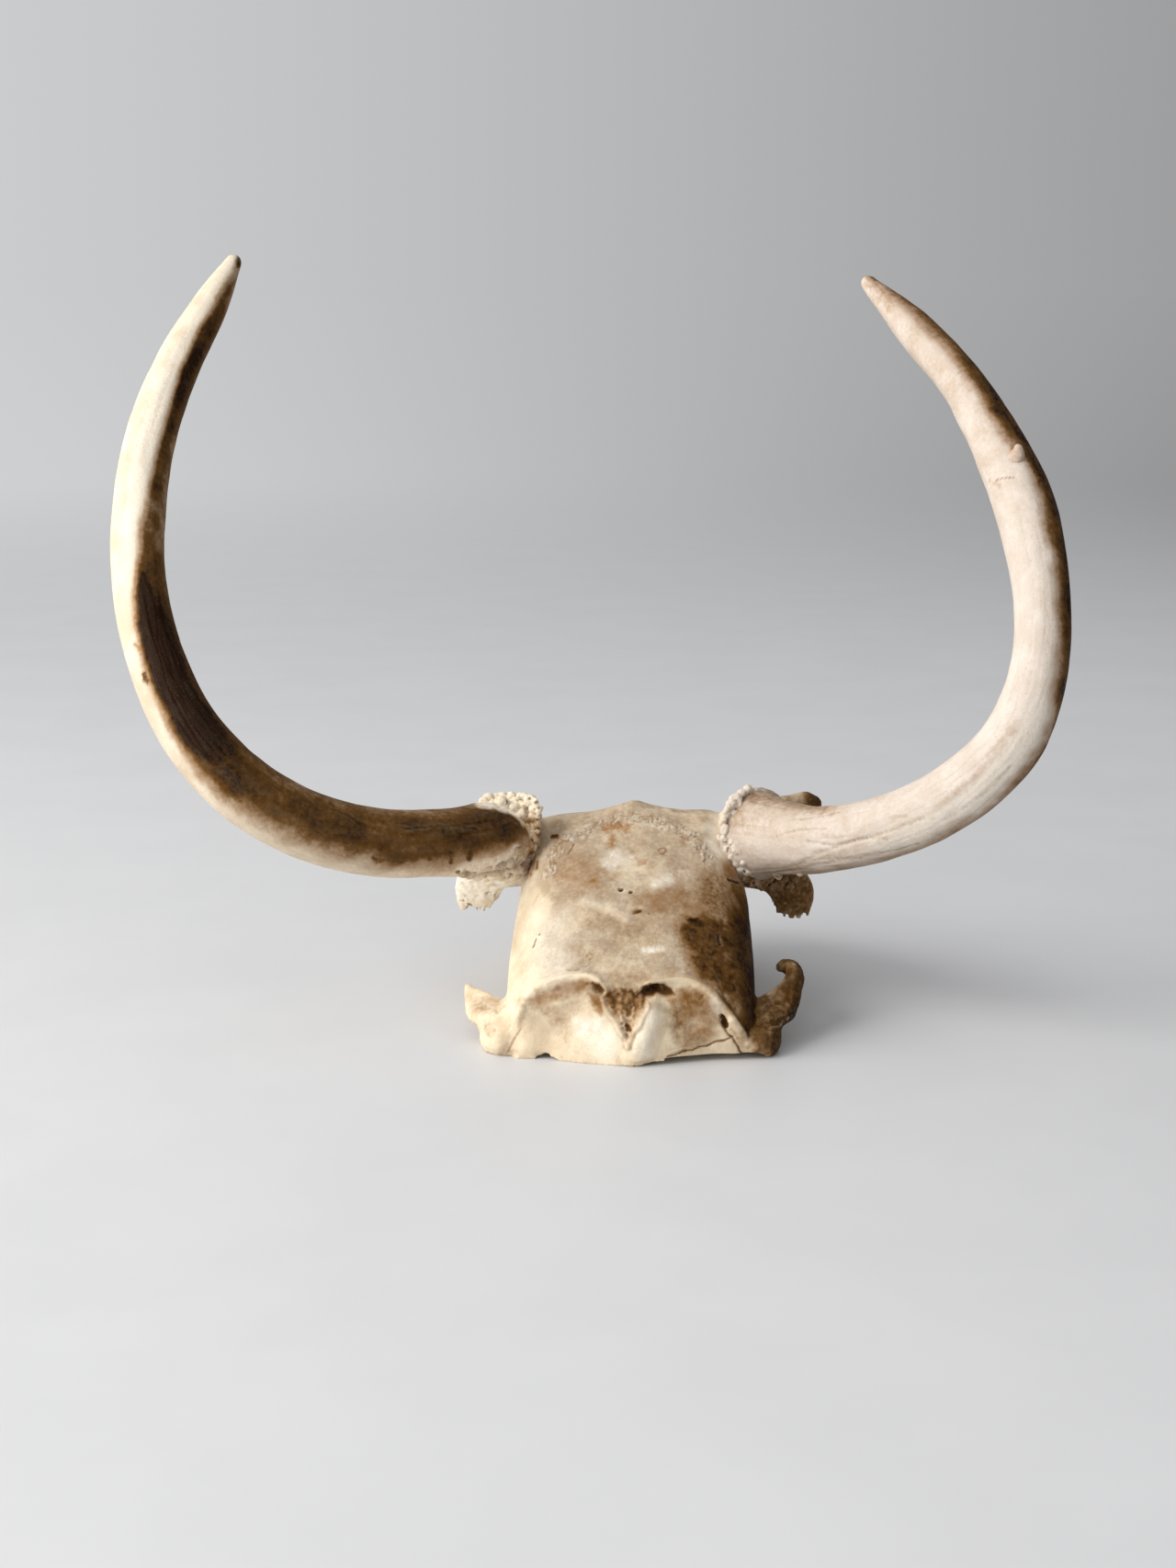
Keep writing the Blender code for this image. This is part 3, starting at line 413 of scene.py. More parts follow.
class Skin:
    """Vertices, faces, relief and painted marks of one fine surface, in millimetres."""

    def __init__(self, obj):
        mesh = obj.data
        flat = np.empty(len(mesh.vertices) * 3, dtype=np.float32)
        mesh.vertices.foreach_get("co", flat)
        self.v = flat.reshape(-1, 3).astype(float) / MM
        sizes = np.empty(len(mesh.polygons), dtype=np.int32)
        mesh.polygons.foreach_get("loop_total", sizes)
        loops = np.empty(len(mesh.loops), dtype=np.int32)
        mesh.loops.foreach_get("vertex_index", loops)
        starts = np.concatenate([[0], np.cumsum(sizes)[:-1]])
        quads = starts[sizes == 4]
        tris = starts[sizes == 3]
        self.f = np.stack([loops[quads + k] for k in range(4)], axis=1)
        self.t = np.zeros((0, 3), int)
        if len(tris):
            self.t = np.stack([loops[tris + k] for k in range(3)], axis=1)
        bpy.data.objects.remove(obj, do_unlink=True)
        self.paint = {}
        self.prepare()

    def prepare(self):
        """Edges, normals and empty relief for the faces as they are."""
        pairs = [self.f[:, [k, (k + 1) % 4]] for k in range(4)]
        pairs += [self.t[:, [k, (k + 1) % 3]] for k in range(3)]
        self.edges = np.unique(np.sort(np.concatenate(pairs), axis=1), axis=0)
        self.degree = np.bincount(self.edges.ravel(), minlength=len(self.v)).astype(float)
        self.lift = np.zeros(len(self.v))
        self.shift = np.zeros_like(self.v)
        self.refresh()

    def refresh(self):
        """Normals of the shape as it is now; rays and photo pixels are found anew."""
        self.n = self.normals()
        self.tree = None
        self.seen = None

    def normals(self):
        """Area-weighted vertex normals."""
        n = np.zeros_like(self.v)
        for faces, a, b, c, d in ((self.f, 0, 2, 1, 3), (self.t, 0, 1, 0, 2)):
            if not len(faces):
                continue
            one = self.v[faces[:, b]] - self.v[faces[:, a]]
            two = self.v[faces[:, d]] - self.v[faces[:, c]]
            cross = np.cross(one, two)
            for k in range(faces.shape[1]):
                for axis in range(3):
                    n[:, axis] += np.bincount(faces[:, k], cross[:, axis], minlength=len(n))
        return n / np.maximum(np.linalg.norm(n, axis=1), 1e-12)[:, None]

    def average(self, values):
        """Mean of each vertex's neighbours."""
        values = np.asarray(values, dtype=float)
        columns = values.reshape(len(values), -1)
        out = np.zeros_like(columns)
        a, b = self.edges[:, 0], self.edges[:, 1]
        for axis in range(columns.shape[1]):
            out[:, axis] += np.bincount(a, columns[b, axis], minlength=len(out))
            out[:, axis] += np.bincount(b, columns[a, axis], minlength=len(out))
        return (out / np.maximum(self.degree, 1.0)[:, None]).reshape(values.shape)

    def relax(self, rounds, weight=None, restore=None):
        """Smooth the shape; a restore swells it back after each round, so that it keeps its size."""
        factors = (RELAX, -RELAX * restore) if restore else (RELAX,)
        for factor in factors * rounds:
            move = (self.average(self.v) - self.v) * factor
            if weight is not None:
                move *= weight[:, None]
            self.v += move

    def hollows(self, rounds):
        """Curvature: positive in crevices, negative on edges, over a few vertex steps."""
        smooth = self.v
        for _ in range(rounds):
            smooth = self.average(smooth)
        return np.einsum("ij,ij->i", smooth - self.v, self.normals())

    def channel(self, name):
        """Painted amount of a stain, made when first asked for."""
        if name not in self.paint:
            self.paint[name] = np.zeros(len(self.v))
        return self.paint[name]

    def cast(self, pixel):
        """Point and normal where a pixel of the photo meets the surface."""
        if self.tree is None:
            faces = self.f.tolist() + self.t.tolist()
            self.tree = BVHTree.FromPolygons(self.v.tolist(), faces)
        hit, normal, _, _ = self.tree.ray_cast(Vector(CAMERA), Vector(pixel_ray(pixel)))
        if hit is None:
            return None, None
        return np.array(hit), np.array(normal)

    def near(self, points, reach, normal=None):
        """Vertices near a path, with their distance to it and place along it."""
        points = np.atleast_2d(points)
        low, high = points.min(axis=0) - reach, points.max(axis=0) + reach
        inside = np.all((self.v > low) & (self.v < high), axis=1)
        if normal is not None:
            inside &= (self.n @ normal) > 0.15
        index = np.nonzero(inside)[0]
        place = self.v[index]
        best = np.full(len(index), 1e9)
        along = np.zeros(len(index))
        if len(points) == 1:
            best = np.linalg.norm(place - points[0], axis=1)
        for i in range(len(points) - 1):
            a, b = points[i], points[i + 1]
            ab = b - a
            t = np.clip(((place - a) @ ab) / max(float(ab @ ab), 1e-9), 0.0, 1.0)
            d = np.linalg.norm(place - (a + t[:, None] * ab), axis=1)
            closer = d < best
            best[closer] = d[closer]
            along[closer] = (i + t[closer]) / (len(points) - 1)
        keep = best < reach
        return index[keep], best[keep], along[keep]

    def build(self, name, chosen=None):
        """Mesh object with the painted marks as attributes, of all faces or of the chosen quads."""
        verts, quads, tris, normals, paint = self.v, self.f, self.t, self.normals(), self.paint
        if chosen is not None:
            quads, tris = quads[chosen], tris[:0]
            picked = np.unique(quads)
            order = np.zeros(len(verts), dtype=np.int64)
            order[picked] = np.arange(len(picked))
            verts, quads, normals = verts[picked], order[quads], normals[picked]
            paint = {label: values[picked] for label, values in paint.items()}
        mesh = bpy.data.meshes.new(name)
        mesh.vertices.add(len(verts))
        mesh.vertices.foreach_set("co", (verts * MM).astype(np.float32).ravel())
        corners = np.concatenate([quads.ravel(), tris.ravel()]).astype(np.int32)
        starts = np.concatenate([
            np.arange(len(quads)) * 4, len(quads) * 4 + np.arange(len(tris)) * 3]).astype(np.int32)
        mesh.loops.add(len(corners))
        mesh.loops.foreach_set("vertex_index", corners)
        mesh.polygons.add(len(starts))
        mesh.polygons.foreach_set("loop_start", starts)
        mesh.update(calc_edges=True)
        mesh.shade_smooth()
        mesh.normals_split_custom_set_from_vertices(normals.tolist())
        for label, values in paint.items():
            layer = mesh.attributes.new(label, "FLOAT", "POINT")
            layer.data.foreach_set("value", np.clip(values, 0.0, 1.5).astype(np.float32))
        return placed(name, mesh)


def camera_axes():
    """Right, ahead and up of the photo's camera."""
    turn, pitch = math.radians(CAMERA_TURN), math.radians(CAMERA_PITCH)
    level = math.cos(pitch)
    right = np.array([math.cos(turn), math.sin(turn), 0.0])
    ahead = np.array([-math.sin(turn) * level, math.cos(turn) * level, -math.sin(pitch)])
    return right, ahead, np.cross(right, ahead)


def pixel_ray(pixel):
    """Direction from the camera through a pixel of the photo."""
    right, ahead, up = camera_axes()
    x = (pixel[0] - PHOTO[0] * 0.5) / FOCAL
    y = (PHOTO[1] * 0.5 - pixel[1]) / FOCAL
    ray = ahead + right * x + up * y
    return ray / np.linalg.norm(ray)


# ---------------------------------------------------------------- skull cap

# Points of a half section on the roof, the rim, the vault and the wall.
ROOF, RIM, VAULT, WALL = 36, 8, 18, 16
# Angles of the arch in degrees: middle of the roof, start and end of the rim, widest point.
ARCH_ANGLES = (90.0, 38.0, 30.0, 0.0)
BASE_DROP = 8.0
SKULL_STATIONS = np.arange(2.0, 138.01, 1.7)
PLATE_LEVELS = np.arange(-8.0, 26.01, 1.0)
PLATE_COUNT = 61
PLATE_BACK = 15.0
ARCH_COUNT = 33
CAVITY_STEP = 1.5
PROCESS_STEP = 0.8
PROCESS_SIDES = 40
PEDICLE_RINGS = 12
PEDICLE_SIDES = 48


def vault_half(y):
    """Half section of the braincase at y, from roof centre to base."""
    _, half, level, roof, power, base = table_at(BRAINCASE, y)
    spans = zip(ARCH_ANGLES, ARCH_ANGLES[1:], (ROOF, RIM + 1, VAULT + 1))
    parts = [np.linspace(start, end, count)[1:] for start, end, count in spans]
    angles = np.concatenate([ARCH_ANGLES[:1], *parts])
    c = np.clip(np.cos(np.radians(angles)), 0.0, 1.0) ** (2.0 / power)
    s = np.clip(np.sin(np.radians(angles)), 0.0, 1.0) ** (2.0 / power)
    arch = np.stack([half * c, level + (roof - level) * s], axis=1)
    return np.vstack([arch, wall_points(half, level, base)])


def wall_points(half, level, base):
    """Side wall from its top down past the base cut."""
    t = np.arange(1, WALL + 1) / WALL
    return np.stack([half + (base - half) * t ** 1.5, level + (-BASE_DROP - level) * t], axis=1)


def bezier(a, b, c, count):
    """Points of a quadratic curve, without its first."""
    t = (np.arange(1, count + 1) / count)[:, None]
    a, b, c = (np.array(p)[None, :] for p in (a, b, c))
    return (1 - t) ** 2 * a + 2 * (1 - t) * t * b + t * t * c


def frontal_half(y):
    """Half section of the frontal region at y: roof, orbit rim, orbit vault and wall."""
    _, rim, roof, fall, thick, wall, vault, top, base = table_at(FRONTAL, y)
    u = np.linspace(0.0, 1.0, ROOF)
    upper = np.stack([rim * u, roof - fall * u ** 2.6], axis=1)
    lip = (rim - 1.6, roof - fall - thick)
    edge = bezier((rim, roof - fall), (rim + 2.0, roof - fall - thick * 0.5), lip, RIM)
    under = bezier(lip, (wall + 2.5, vault), (wall, top), VAULT)
    return np.vstack([upper, edge, under, wall_points(wall, top, base)])


def skull_ring(y):
    """Full section of the skull at y."""
    blend = float(smoothstep(54, 76, y))
    half = vault_half(y) * (1.0 - blend) + frontal_half(y) * blend
    bump = 2.4 * np.exp(-(half[:, 0] / 9.0) ** 2 - ((y - 71.0) / 7.0) ** 2)
    half[:, 1] += np.where(half[:, 1] > 40.0, bump, 0.0)
    right = np.stack([half[:, 0], np.full(len(half), y), half[:, 1]], axis=1)
    left = right[1:] * (-1.0, 1.0, 1.0)
    return np.vstack([right, left[::-1]])


def occiput_ring(level):
    """Horizontal section of the occipital plate."""
    z, half, depth = table_at(OCCIPUT, level)
    u = np.linspace(-1.0, 1.0, PLATE_COUNT)
    bulge = -depth + (8.5 + depth) * np.abs(u) ** 1.45
    back = np.stack([half * u, bulge, np.full(PLATE_COUNT, z)], axis=1)
    inner = half - 6.0
    return np.vstack([back, [(x, PLATE_BACK, z) for x in (inner, 0.0, -inner)]])


def cavity_ring(y, half, top):
    """Arched section of a hollow that is open below the base."""
    angle = np.linspace(0.0, math.pi, ARCH_COUNT)
    x = half * np.sign(np.cos(angle)) * np.abs(np.cos(angle)) ** 0.8
    z = top * (0.25 + 0.75 * np.abs(np.sin(angle)) ** 0.8)
    arch = np.stack([x, np.full(ARCH_COUNT, y), z], axis=1)
    return np.vstack([[(half, y, -20.0)], arch, [(-half, y, -20.0)]])


def cavity(name, table):
    """Solid that fills a hollow, finely stepped."""
    ys = np.arange(table[0][0], table[-1][0] + 0.1, CAVITY_STEP)
    return loft(name, [cavity_ring(*table_at(table, y)) for y in ys])


def process(name, rows):
    """A flat bony process: oval sections along a path."""
    fine = spline_path([(*row[:5], *row[5]) for row in rows], PROCESS_STEP)
    tangents, _, _ = frames_along(fine[:, :3])
    thin = fine[:, 5:8] - tangents * np.einsum("ij,ij->i", fine[:, 5:8], tangents)[:, None]
    thin /= np.linalg.norm(thin, axis=1)[:, None]
    wide = np.cross(tangents, thin)
    angle = np.linspace(0.0, 2.0 * math.pi, PROCESS_SIDES, endpoint=False)
    cx, sx = (np.sign(c) * np.abs(c) ** (2.0 / 2.4) for c in (np.cos(angle), np.sin(angle)))
    rings = fine[:, None, :3] + wide[:, None, :] * (fine[:, 3][:, None] * cx)[..., None]
    rings = rings + thin[:, None, :] * (fine[:, 4][:, None] * sx)[..., None]
    return loft(name, rings)


def burr_axis(side):
    """Centre of the burr and the outward direction of the antler there."""
    centre = np.array(BEAMS[side][0][:3])
    heading = np.array(BEAMS[side][1][:3]) - centre
    return centre, heading / np.linalg.norm(heading)


def pedicle(side):
    """Bony stalk from the frontal bone to the burr."""
    centre, heading = burr_axis(side)
    face = centre - heading * (BURR_HALF - 1.5)
    root = np.array([math.copysign(PEDICLE_ROOT[0], centre[0]), *PEDICLE_ROOT[1:]])
    t = np.linspace(0.0, 1.0, PEDICLE_RINGS)[:, None]
    points = root + (face - root) * t
    radii = PEDICLE_RADIUS[side] + (t[:, 0] - 1.0)
    return loft("pedicle", tube_rings(np.hstack([points, radii[:, None]]), PEDICLE_SIDES))


def skull_skin():
    """The whole skull cap as one fine surface."""
    case = loft("skull", [skull_ring(float(y)) for y in SKULL_STATIONS])
    case = subtract(case, cavity("brain", BRAIN_CAVITY))
    case = subtract(case, cavity("nose", NASAL_CAVITY))
    solids = [case, loft("plate", [occiput_ring(z) for z in PLATE_LEVELS])]
    for side in (-1.0, 1.0):
        solids.append(ball("mastoid", (side * MASTOID[0], *MASTOID[1:]), MASTOID_RADII))
    for rows in (ZYGOMATIC_LEFT, ZYGOMATIC_RIGHT, ORBIT_HORN_LEFT, ORBIT_HORN_RIGHT):
        solids.append(process("process", rows))
    for side in BEAMS:
        solids.append(pedicle(side))
    whole = fused(join_all("cranium", solids), BONE_VOXEL)
    rise = (FAR - FACE_CUT) * FACE_SLOPE
    under = ((-FAR, -FAR), (FAR, -FAR), (FAR, rise), (FACE_CUT, 0.0), (-FAR, 0.0))
    whole = subtract(whole, prism("saw", under, "x", -FAR, FAR))
    for low, high, height in BASE_GAPS:
        outline = ((low, -4.0), (high, -4.0), (high - 3.0, height), (low + 3.0, height))
        whole = subtract(whole, prism("relief", outline, "y", -FAR, 8.0))
    whole = subtract(whole, prism("notch", NASAL_NOTCH, "z", -FAR, FAR))
    return Skin(fused(whole, BONE_VOXEL))


# ---------------------------------------------------------------- marks on a surface

MARK_RAGGED = 0.5
MARK_SOFT = 0.85
# A cut's stain reaches this much farther than the cut.
STAIN_REACH = 1.15


def trace(skin, pixels):
    """Points of a surface under some photo pixels, and their mean normal."""
    hits, normals = [], []
    for pixel in pixels:
        hit, normal = skin.cast(pixel)
        if hit is not None:
            hits.append(hit)
            normals.append(normal)
    if not hits:
        return None, None
    normal = np.mean(normals, axis=0)
    return np.array(hits), normal / max(np.linalg.norm(normal), 1e-9)


def profile(distance, reach, soft):
    """Weight 1 at the middle of a mark, falling to 0 at its reach."""
    return ease_out(reach * (1.0 - soft), reach, distance)


def project(skin):
    """Photo pixel of every vertex, and how much each one faces the camera."""
    if skin.seen is None:
        right, ahead, up = camera_axes()
        ray = skin.v - CAMERA
        depth = ray @ ahead
        x = PHOTO[0] * 0.5 + FOCAL * (ray @ right) / depth
        y = PHOTO[1] * 0.5 - FOCAL * (ray @ up) / depth
        facing = -np.einsum("ij,ij->i", ray, skin.n) / np.linalg.norm(ray, axis=1)
        skin.seen = np.stack([x, y], axis=1), smoothstep(-0.3, 0.1, facing)
    return skin.seen


def seen_near(skin, pts, margin):
    """Vertices that the camera sees within a margin of some photo pixels."""
    place, facing = project(skin)
    low, high = pts.min(axis=0) - margin, pts.max(axis=0) + margin
    inside = np.all((place > low) & (place < high), axis=1) & (facing > 0.0)
    return np.nonzero(inside)[0]


def stain_all(skin, name, amount):
    """Raise a stain to an amount given for every vertex."""
    skin.paint[name] = np.maximum(skin.channel(name), amount)


def mark(skin, name, pixels, reach, amount):
    """Stain along a line of photo pixels, on the side that the camera sees."""
    seed = int(pixels[0][1])
    pts = np.array(pixels, dtype=float)
    limit = reach * PIXELS_PER_MM
    index = seen_near(skin, pts, limit * (1.0 + MARK_RAGGED))
    if not len(index):
        return
    place, facing = project(skin)
    spot = place[index]
    distance = np.full(len(index), 1e9)
    for a, b in zip(pts, pts[1:] if len(pts) > 1 else pts):
        ab = b - a
        t = np.clip(((spot - a) @ ab) / max(float(ab @ ab), 1e-9), 0.0, 1.0)
        distance = np.minimum(distance, np.linalg.norm(spot - a - t[:, None] * ab, axis=1))
    rough = fractal(skin.v[index], max(reach * 0.7, 0.8), 4, seed)
    value = amount * profile(distance + MARK_RAGGED * limit * rough, limit, MARK_SOFT)
    value *= facing[index] * (0.85 + 0.35 * fractal(skin.v[index], 1.1, 2, seed + 5))
    tint(skin, name, index, value)


def region(skin, outline, soft, rough=3.0, seed=0):
    """Vertices inside an outline of photo pixels, with a weight that fades at its edge."""
    place, facing = project(skin)
    index = seen_near(skin, np.array(outline, dtype=float), soft + rough)
    away = polygon_distance(place[index, 0], place[index, 1], outline)
    away = away + rough * fractal(skin.v[index], 2.6, 3, seed)
    return index, ease_out(-soft, soft, away) * facing[index]


def tint(skin, name, index, amount):
    """Raise a stain to an amount on some vertices."""
    layer = skin.channel(name)
    layer[index] = np.maximum(layer[index], amount)


def carve(skin, cut, ragged):
    """Groove, pit or lump (negative depth) along a line of photo pixels, with its stain."""
    reach, depth, stain, amount, *pixels = cut
    seed = int(pixels[0][0])
    path, normal = trace(skin, pixels)
    if path is None:
        return
    index, distance, _ = skin.near(path, reach * (1.0 + ragged), normal)
    if len(index):
        rough = noise(skin.v[index], max(reach * 0.6, 0.8), seed)
        skin.lift[index] -= depth * profile(distance + ragged * reach * rough, reach, 1.0)
    wide = reach * STAIN_REACH
    index, distance, _ = skin.near(path, wide * (1.0 + ragged), normal)
    if stain and len(index):
        rough = fractal(skin.v[index], max(wide * 0.5, 0.9), 3, seed)
        tint(skin, stain, index, amount * profile(distance + ragged * wide * rough, wide, 0.6))


def polygon_distance(u, v, outline):
    """Signed distance to a flat outline, negative inside."""
    pts = np.array(outline, dtype=float)
    best = np.full(len(u), 1e9)
    inside = np.zeros(len(u), dtype=bool)
    for a, b in zip(pts, np.roll(pts, -1, axis=0)):
        ex, ey = b - a
        t = np.clip(((u - a[0]) * ex + (v - a[1]) * ey) / max(ex * ex + ey * ey, 1e-9), 0.0, 1.0)
        best = np.minimum(best, np.hypot(u - a[0] - t * ex, v - a[1] - t * ey))
        crosses = (a[1] > v) != (b[1] > v)
        with np.errstate(divide="ignore", invalid="ignore"):
            reach = a[0] + (v - a[1]) * ex / (ey if abs(ey) > 1e-9 else 1e-9)
        inside ^= crosses & (u < reach)
    return np.where(inside, -best, best)


# ---------------------------------------------------------------- bones of the cap

# Outlines of the bones: the occipital in x and z, the others in y and z.
OCCIPITAL_LINE = (
    (-41.5, -30), (-41.5, 0), (-35.6, 13.5), (-36.6, 17.5), (-60, 60), (60, 60), (36.6, 17.5),
    (35.6, 13.5), (41.5, 0), (41.5, -30),
)
SQUAMOUS_LINE = (
    (-40, -30), (-40, 60), (7, 22), (20, 28), (34, 30.5), (46, 29.5), (56, 25), (63, 16), (65, 0),
    (65, -30),
)
ORBIT_LINE = (
    (64, -30), (64, 20), (72, 27), (84, 31), (98, 31), (110, 27), (120, 16), (120, -30),
)


def coronal(x):
    """Suture between the parietal and frontal bones: its y at each x."""
    return 63.6 - 16.5 * (np.abs(x) / 26.5) ** 2.0


def bone_fields(skin):
    """Signed distance to each bone's outline, with wandering suture lines."""
    p = warp(skin.v, 2.2, 0.55, 5)
    p = warp(p, 0.9, 0.25, 9)
    x, y, z = p[:, 0], p[:, 1], p[:, 2]
    occipital = np.maximum(polygon_distance(x, z, OCCIPITAL_LINE), y - 7.0)
    temporal = np.maximum(polygon_distance(y, z, SQUAMOUS_LINE), 14.0 - np.abs(x))
    orbit = np.maximum(polygon_distance(y, z, ORBIT_LINE), np.abs(x) - 45.0)
    frontal = np.where(np.abs(x) < 40.0, coronal(x) - y, 44.0 - y)
    return {"occipital": occipital, "temporal": temporal, "orbit": orbit, "frontal": frontal}


def bone_labels(fields, x):
    """Number of the bone that each vertex belongs to."""
    label = np.where(fields["frontal"] < 0.0, 3, 1)
    label = np.where(fields["orbit"] < 0.0, 5, label)
    label = np.where(fields["temporal"] < 0.0, 7, label)
    label = np.where((label > 1) & (x > 0.0), label + 1, label)
    return np.where(fields["occipital"] < 0.0, 0, label)


BONES = {
    0: ("occipital_bone", ("occipital",)),
    1: ("parietal_bone", ("parietal_left", "parietal_right")),
    3: ("frontal_bone_left", ("frontal_left",)),
    4: ("frontal_bone_right", ("frontal_right",)),
    5: ("orbit_bone_left", ("orbit_wall_left",)),
    6: ("orbit_bone_right", ("orbit_wall_right",)),
    7: ("temporal_bone_left", ("temporal_left",)),
    8: ("temporal_bone_right", ("temporal_right",)),
}

# What shapes the cap: depth of the seams, swell of the crest's lip, and the lift that keeps a gap
# between the occiput and the floor.
SEAM_DEPTH = 0.06
LIP_SWELL = 1.35
LIP_REACH = 14.0
SOFTENING = 26
OCCIPUT_LIFT = 1.4
# Lips of the nuchal crest, the fossa between them, pits (depth mm, umber, seed, outline) and brown
# hollows (soft edge in pixels, tan, amber, umber, seed, outline), by photo pixels. The pits' umber is
# painted shade; the hollows are stain, with painted shade under the lips and on the right side.
LIPS = (
    ((558, 1122), (565, 1104), (572.7, 1087.5), (584, 1076), (601, 1067), (620, 1062), (638, 1061),
     (649, 1066), (660, 1078)),
    ((699, 1079), (707, 1071), (723.7, 1066.5), (740, 1065), (754, 1067), (774.7, 1080.5), (785, 1093),
     (795, 1106), (808, 1121), (820, 1136.5)),
)
FOSSA = (
    (656, 1085), (663, 1079), (676, 1075), (694, 1078), (703, 1088), (699, 1104), (691, 1119),
    (684.5, 1131), (676, 1117), (665, 1101),
)
PITS = (
    (2.6, 1, 21, (697, 1082), (701, 1075), (708, 1072), (716, 1073), (717, 1079), (709, 1084), (701, 1086)),
    (1.8, 0.85, 22, (711, 1073), (722, 1072), (731, 1077), (734, 1083), (727, 1085), (711, 1081)),
    (1.8, 0.9, 23, (645, 1071), (652, 1073), (658, 1079), (655, 1083), (648, 1079)),
)
HOLLOWS = (
    (8, 0.9, 0.4, 0.36, 24, (577, 1088), (586, 1080), (602, 1073), (622, 1068), (641, 1066), (653, 1071),
     (651, 1080), (640, 1078), (628, 1083), (612, 1087), (600, 1091), (588, 1094)),
    (5, 0.7, 0.4, 0.46, 25, (590, 1081), (604, 1073), (624, 1068), (642, 1067), (650, 1072), (636, 1074),
     (616, 1077), (600, 1082)),
    (4, 0.5, 0.7, 0.4, 26, (640, 1082), (652, 1084), (660, 1100), (655, 1104), (648, 1098)),
    (8, 0.95, 0.25, 0.42, 27, (728, 1084), (744, 1076), (764, 1077), (774, 1088), (768, 1100),
     (752, 1112), (746, 1124), (732, 1124)),
    (5, 0.42, 0.2, 0, 39, (510, 1084), (526, 1086), (546, 1086), (545, 1097), (530, 1103), (516, 1106),
     (511, 1098)),
    (13, 0.9, 0.15, 0.74, 29, (737, 1008), (745, 995), (770, 993), (800, 1000), (814, 1030), (814, 1092),
     (800, 1100), (790, 1090), (776, 1074), (764, 1068), (756, 1060), (751, 1044), (741, 1030)),
    (4, 0.8, 0.3, 1, 30, (746, 1001), (756, 997), (768, 1002), (772, 1012), (764, 1014), (754, 1009)),
    (4, 0.8, 0.2, 0.85, 31, (757, 1014), (768, 1018), (770, 1028), (762, 1024)),
    (12, 0.7, 0, 0.3, 32, (690, 975), (736, 964), (776, 962), (790, 980), (792, 1000), (745, 1000),
     (702, 996)),
    (12, 0.6, 0.05, 0.25, 33, (600, 935), (640, 930), (660, 945), (654, 972), (604, 966), (596, 948)),
    (7, 1, 0.1, 0.54, 36, (832, 944), (858, 940), (884, 948), (890, 965), (884, 1000), (850, 1004),
     (826, 976)),
    (5, 1, 0.15, 0.62, 37, (818, 1086), (838, 1082), (852, 1066), (842, 1052), (848, 1034), (882, 1036),
     (880, 1086), (866, 1120), (848, 1146), (822, 1152), (816, 1130), (806, 1112)),
    (4, 0.9, 0.1, 0.85, 38, (838, 1112), (858, 1108), (870, 1092), (872, 1106), (852, 1122), (840, 1122)),
    (9, 0.9, 0, 0.3, 34, (770, 1090), (786, 1096), (790, 1108), (775, 1118), (756, 1112), (752, 1098)),
    (9, 0.85, 0.15, 0.24, 28, (733, 1120), (762, 1112), (782, 1122), (770, 1136), (744, 1142)),
)
# Coronal suture: x, y, z.
CORONAL_ARC = (
    (-36, 38, 45), (-32, 42, 49), (-28.3, 46.3, 51.6), (-27.3, 51.4, 55.2), (-25.6, 56, 58.6),
    (-22.2, 57.1, 60.6), (-17.9, 57.7, 62.2), (-14.5, 60.5, 64.1), (-11.1, 62.7, 65.6), (-2.1, 63.8, 67),
    (7.4, 62.8, 66.1), (14, 60.7, 64.3), (17.5, 59.3, 63), (20.3, 57.2, 61.3), (22.5, 55.1, 59.5),
    (24.2, 53.1, 57.8), (25.6, 50.4, 55.6), (26.7, 47.4, 53.2), (31, 43, 50), (36, 38, 46),
)

# Relief of the roof, the rough fossa, the plate below it and the roots of the processes: reach and
# depth in mm (a negative depth is raised), stain, its amount, photo pixels.
ROOF_CUTS = (
    (0.9, 1.9, "umber", 1, (675.7, 968.2)),
    (0.8, 1.6, "umber", 1, (686.9, 971.2)),
    (3.2, -0.6, "chalk", 0.12, (640, 981), (650, 984), (662, 988), (674, 994), (683, 1000)),
    (2, 0.25, "tan", 0.4, (644, 990), (660, 996), (676, 1003)),
    (0.5, 0.25, "umber", 0.5, (580.5, 1031), (583.2, 1022)),
    (0.6, 0.3, "umber", 0.5, (587, 1017)),
    (0.5, 0.25, "umber", 0.5, (618, 929), (621, 925), (624.5, 919)),
    (0.5, 0.3, "umber", 0.6, (585, 937), (584.6, 946)),
    (1.8, 0.35, "tan", 0.7, (621, 1055), (627, 1055)),
    (0.8, 0.6, "umber", 1, (781.5, 1018), (783.5, 1028)),
    (0.6, 0.4, "umber", 0.9, (777, 1009)),
    (0.5, 0.3, "umber", 0.9, (801, 1023)),
    # Painted shadow along the right edge of the nuchal crest.
    (0.6, 0.2, "umber", 0.4, (774.7, 1056), (781, 1068), (786, 1080), (791, 1091)),
    # Painted shade in a dark crevice beside the right burr.
    (0.9, 0.7, "umber", 0.9, (793, 958), (802, 961), (812, 964), (822, 967)),
    (1, 0.5, "amber", 0.9, (581, 926), (578, 938), (574, 950)),
    (0.5, 0.35, "umber", 0.7, (563, 968), (561, 978)),
    (6, -0.7, "", 0, (691, 874)),
    (4, -0.45, "", 0, (730, 883)),
)
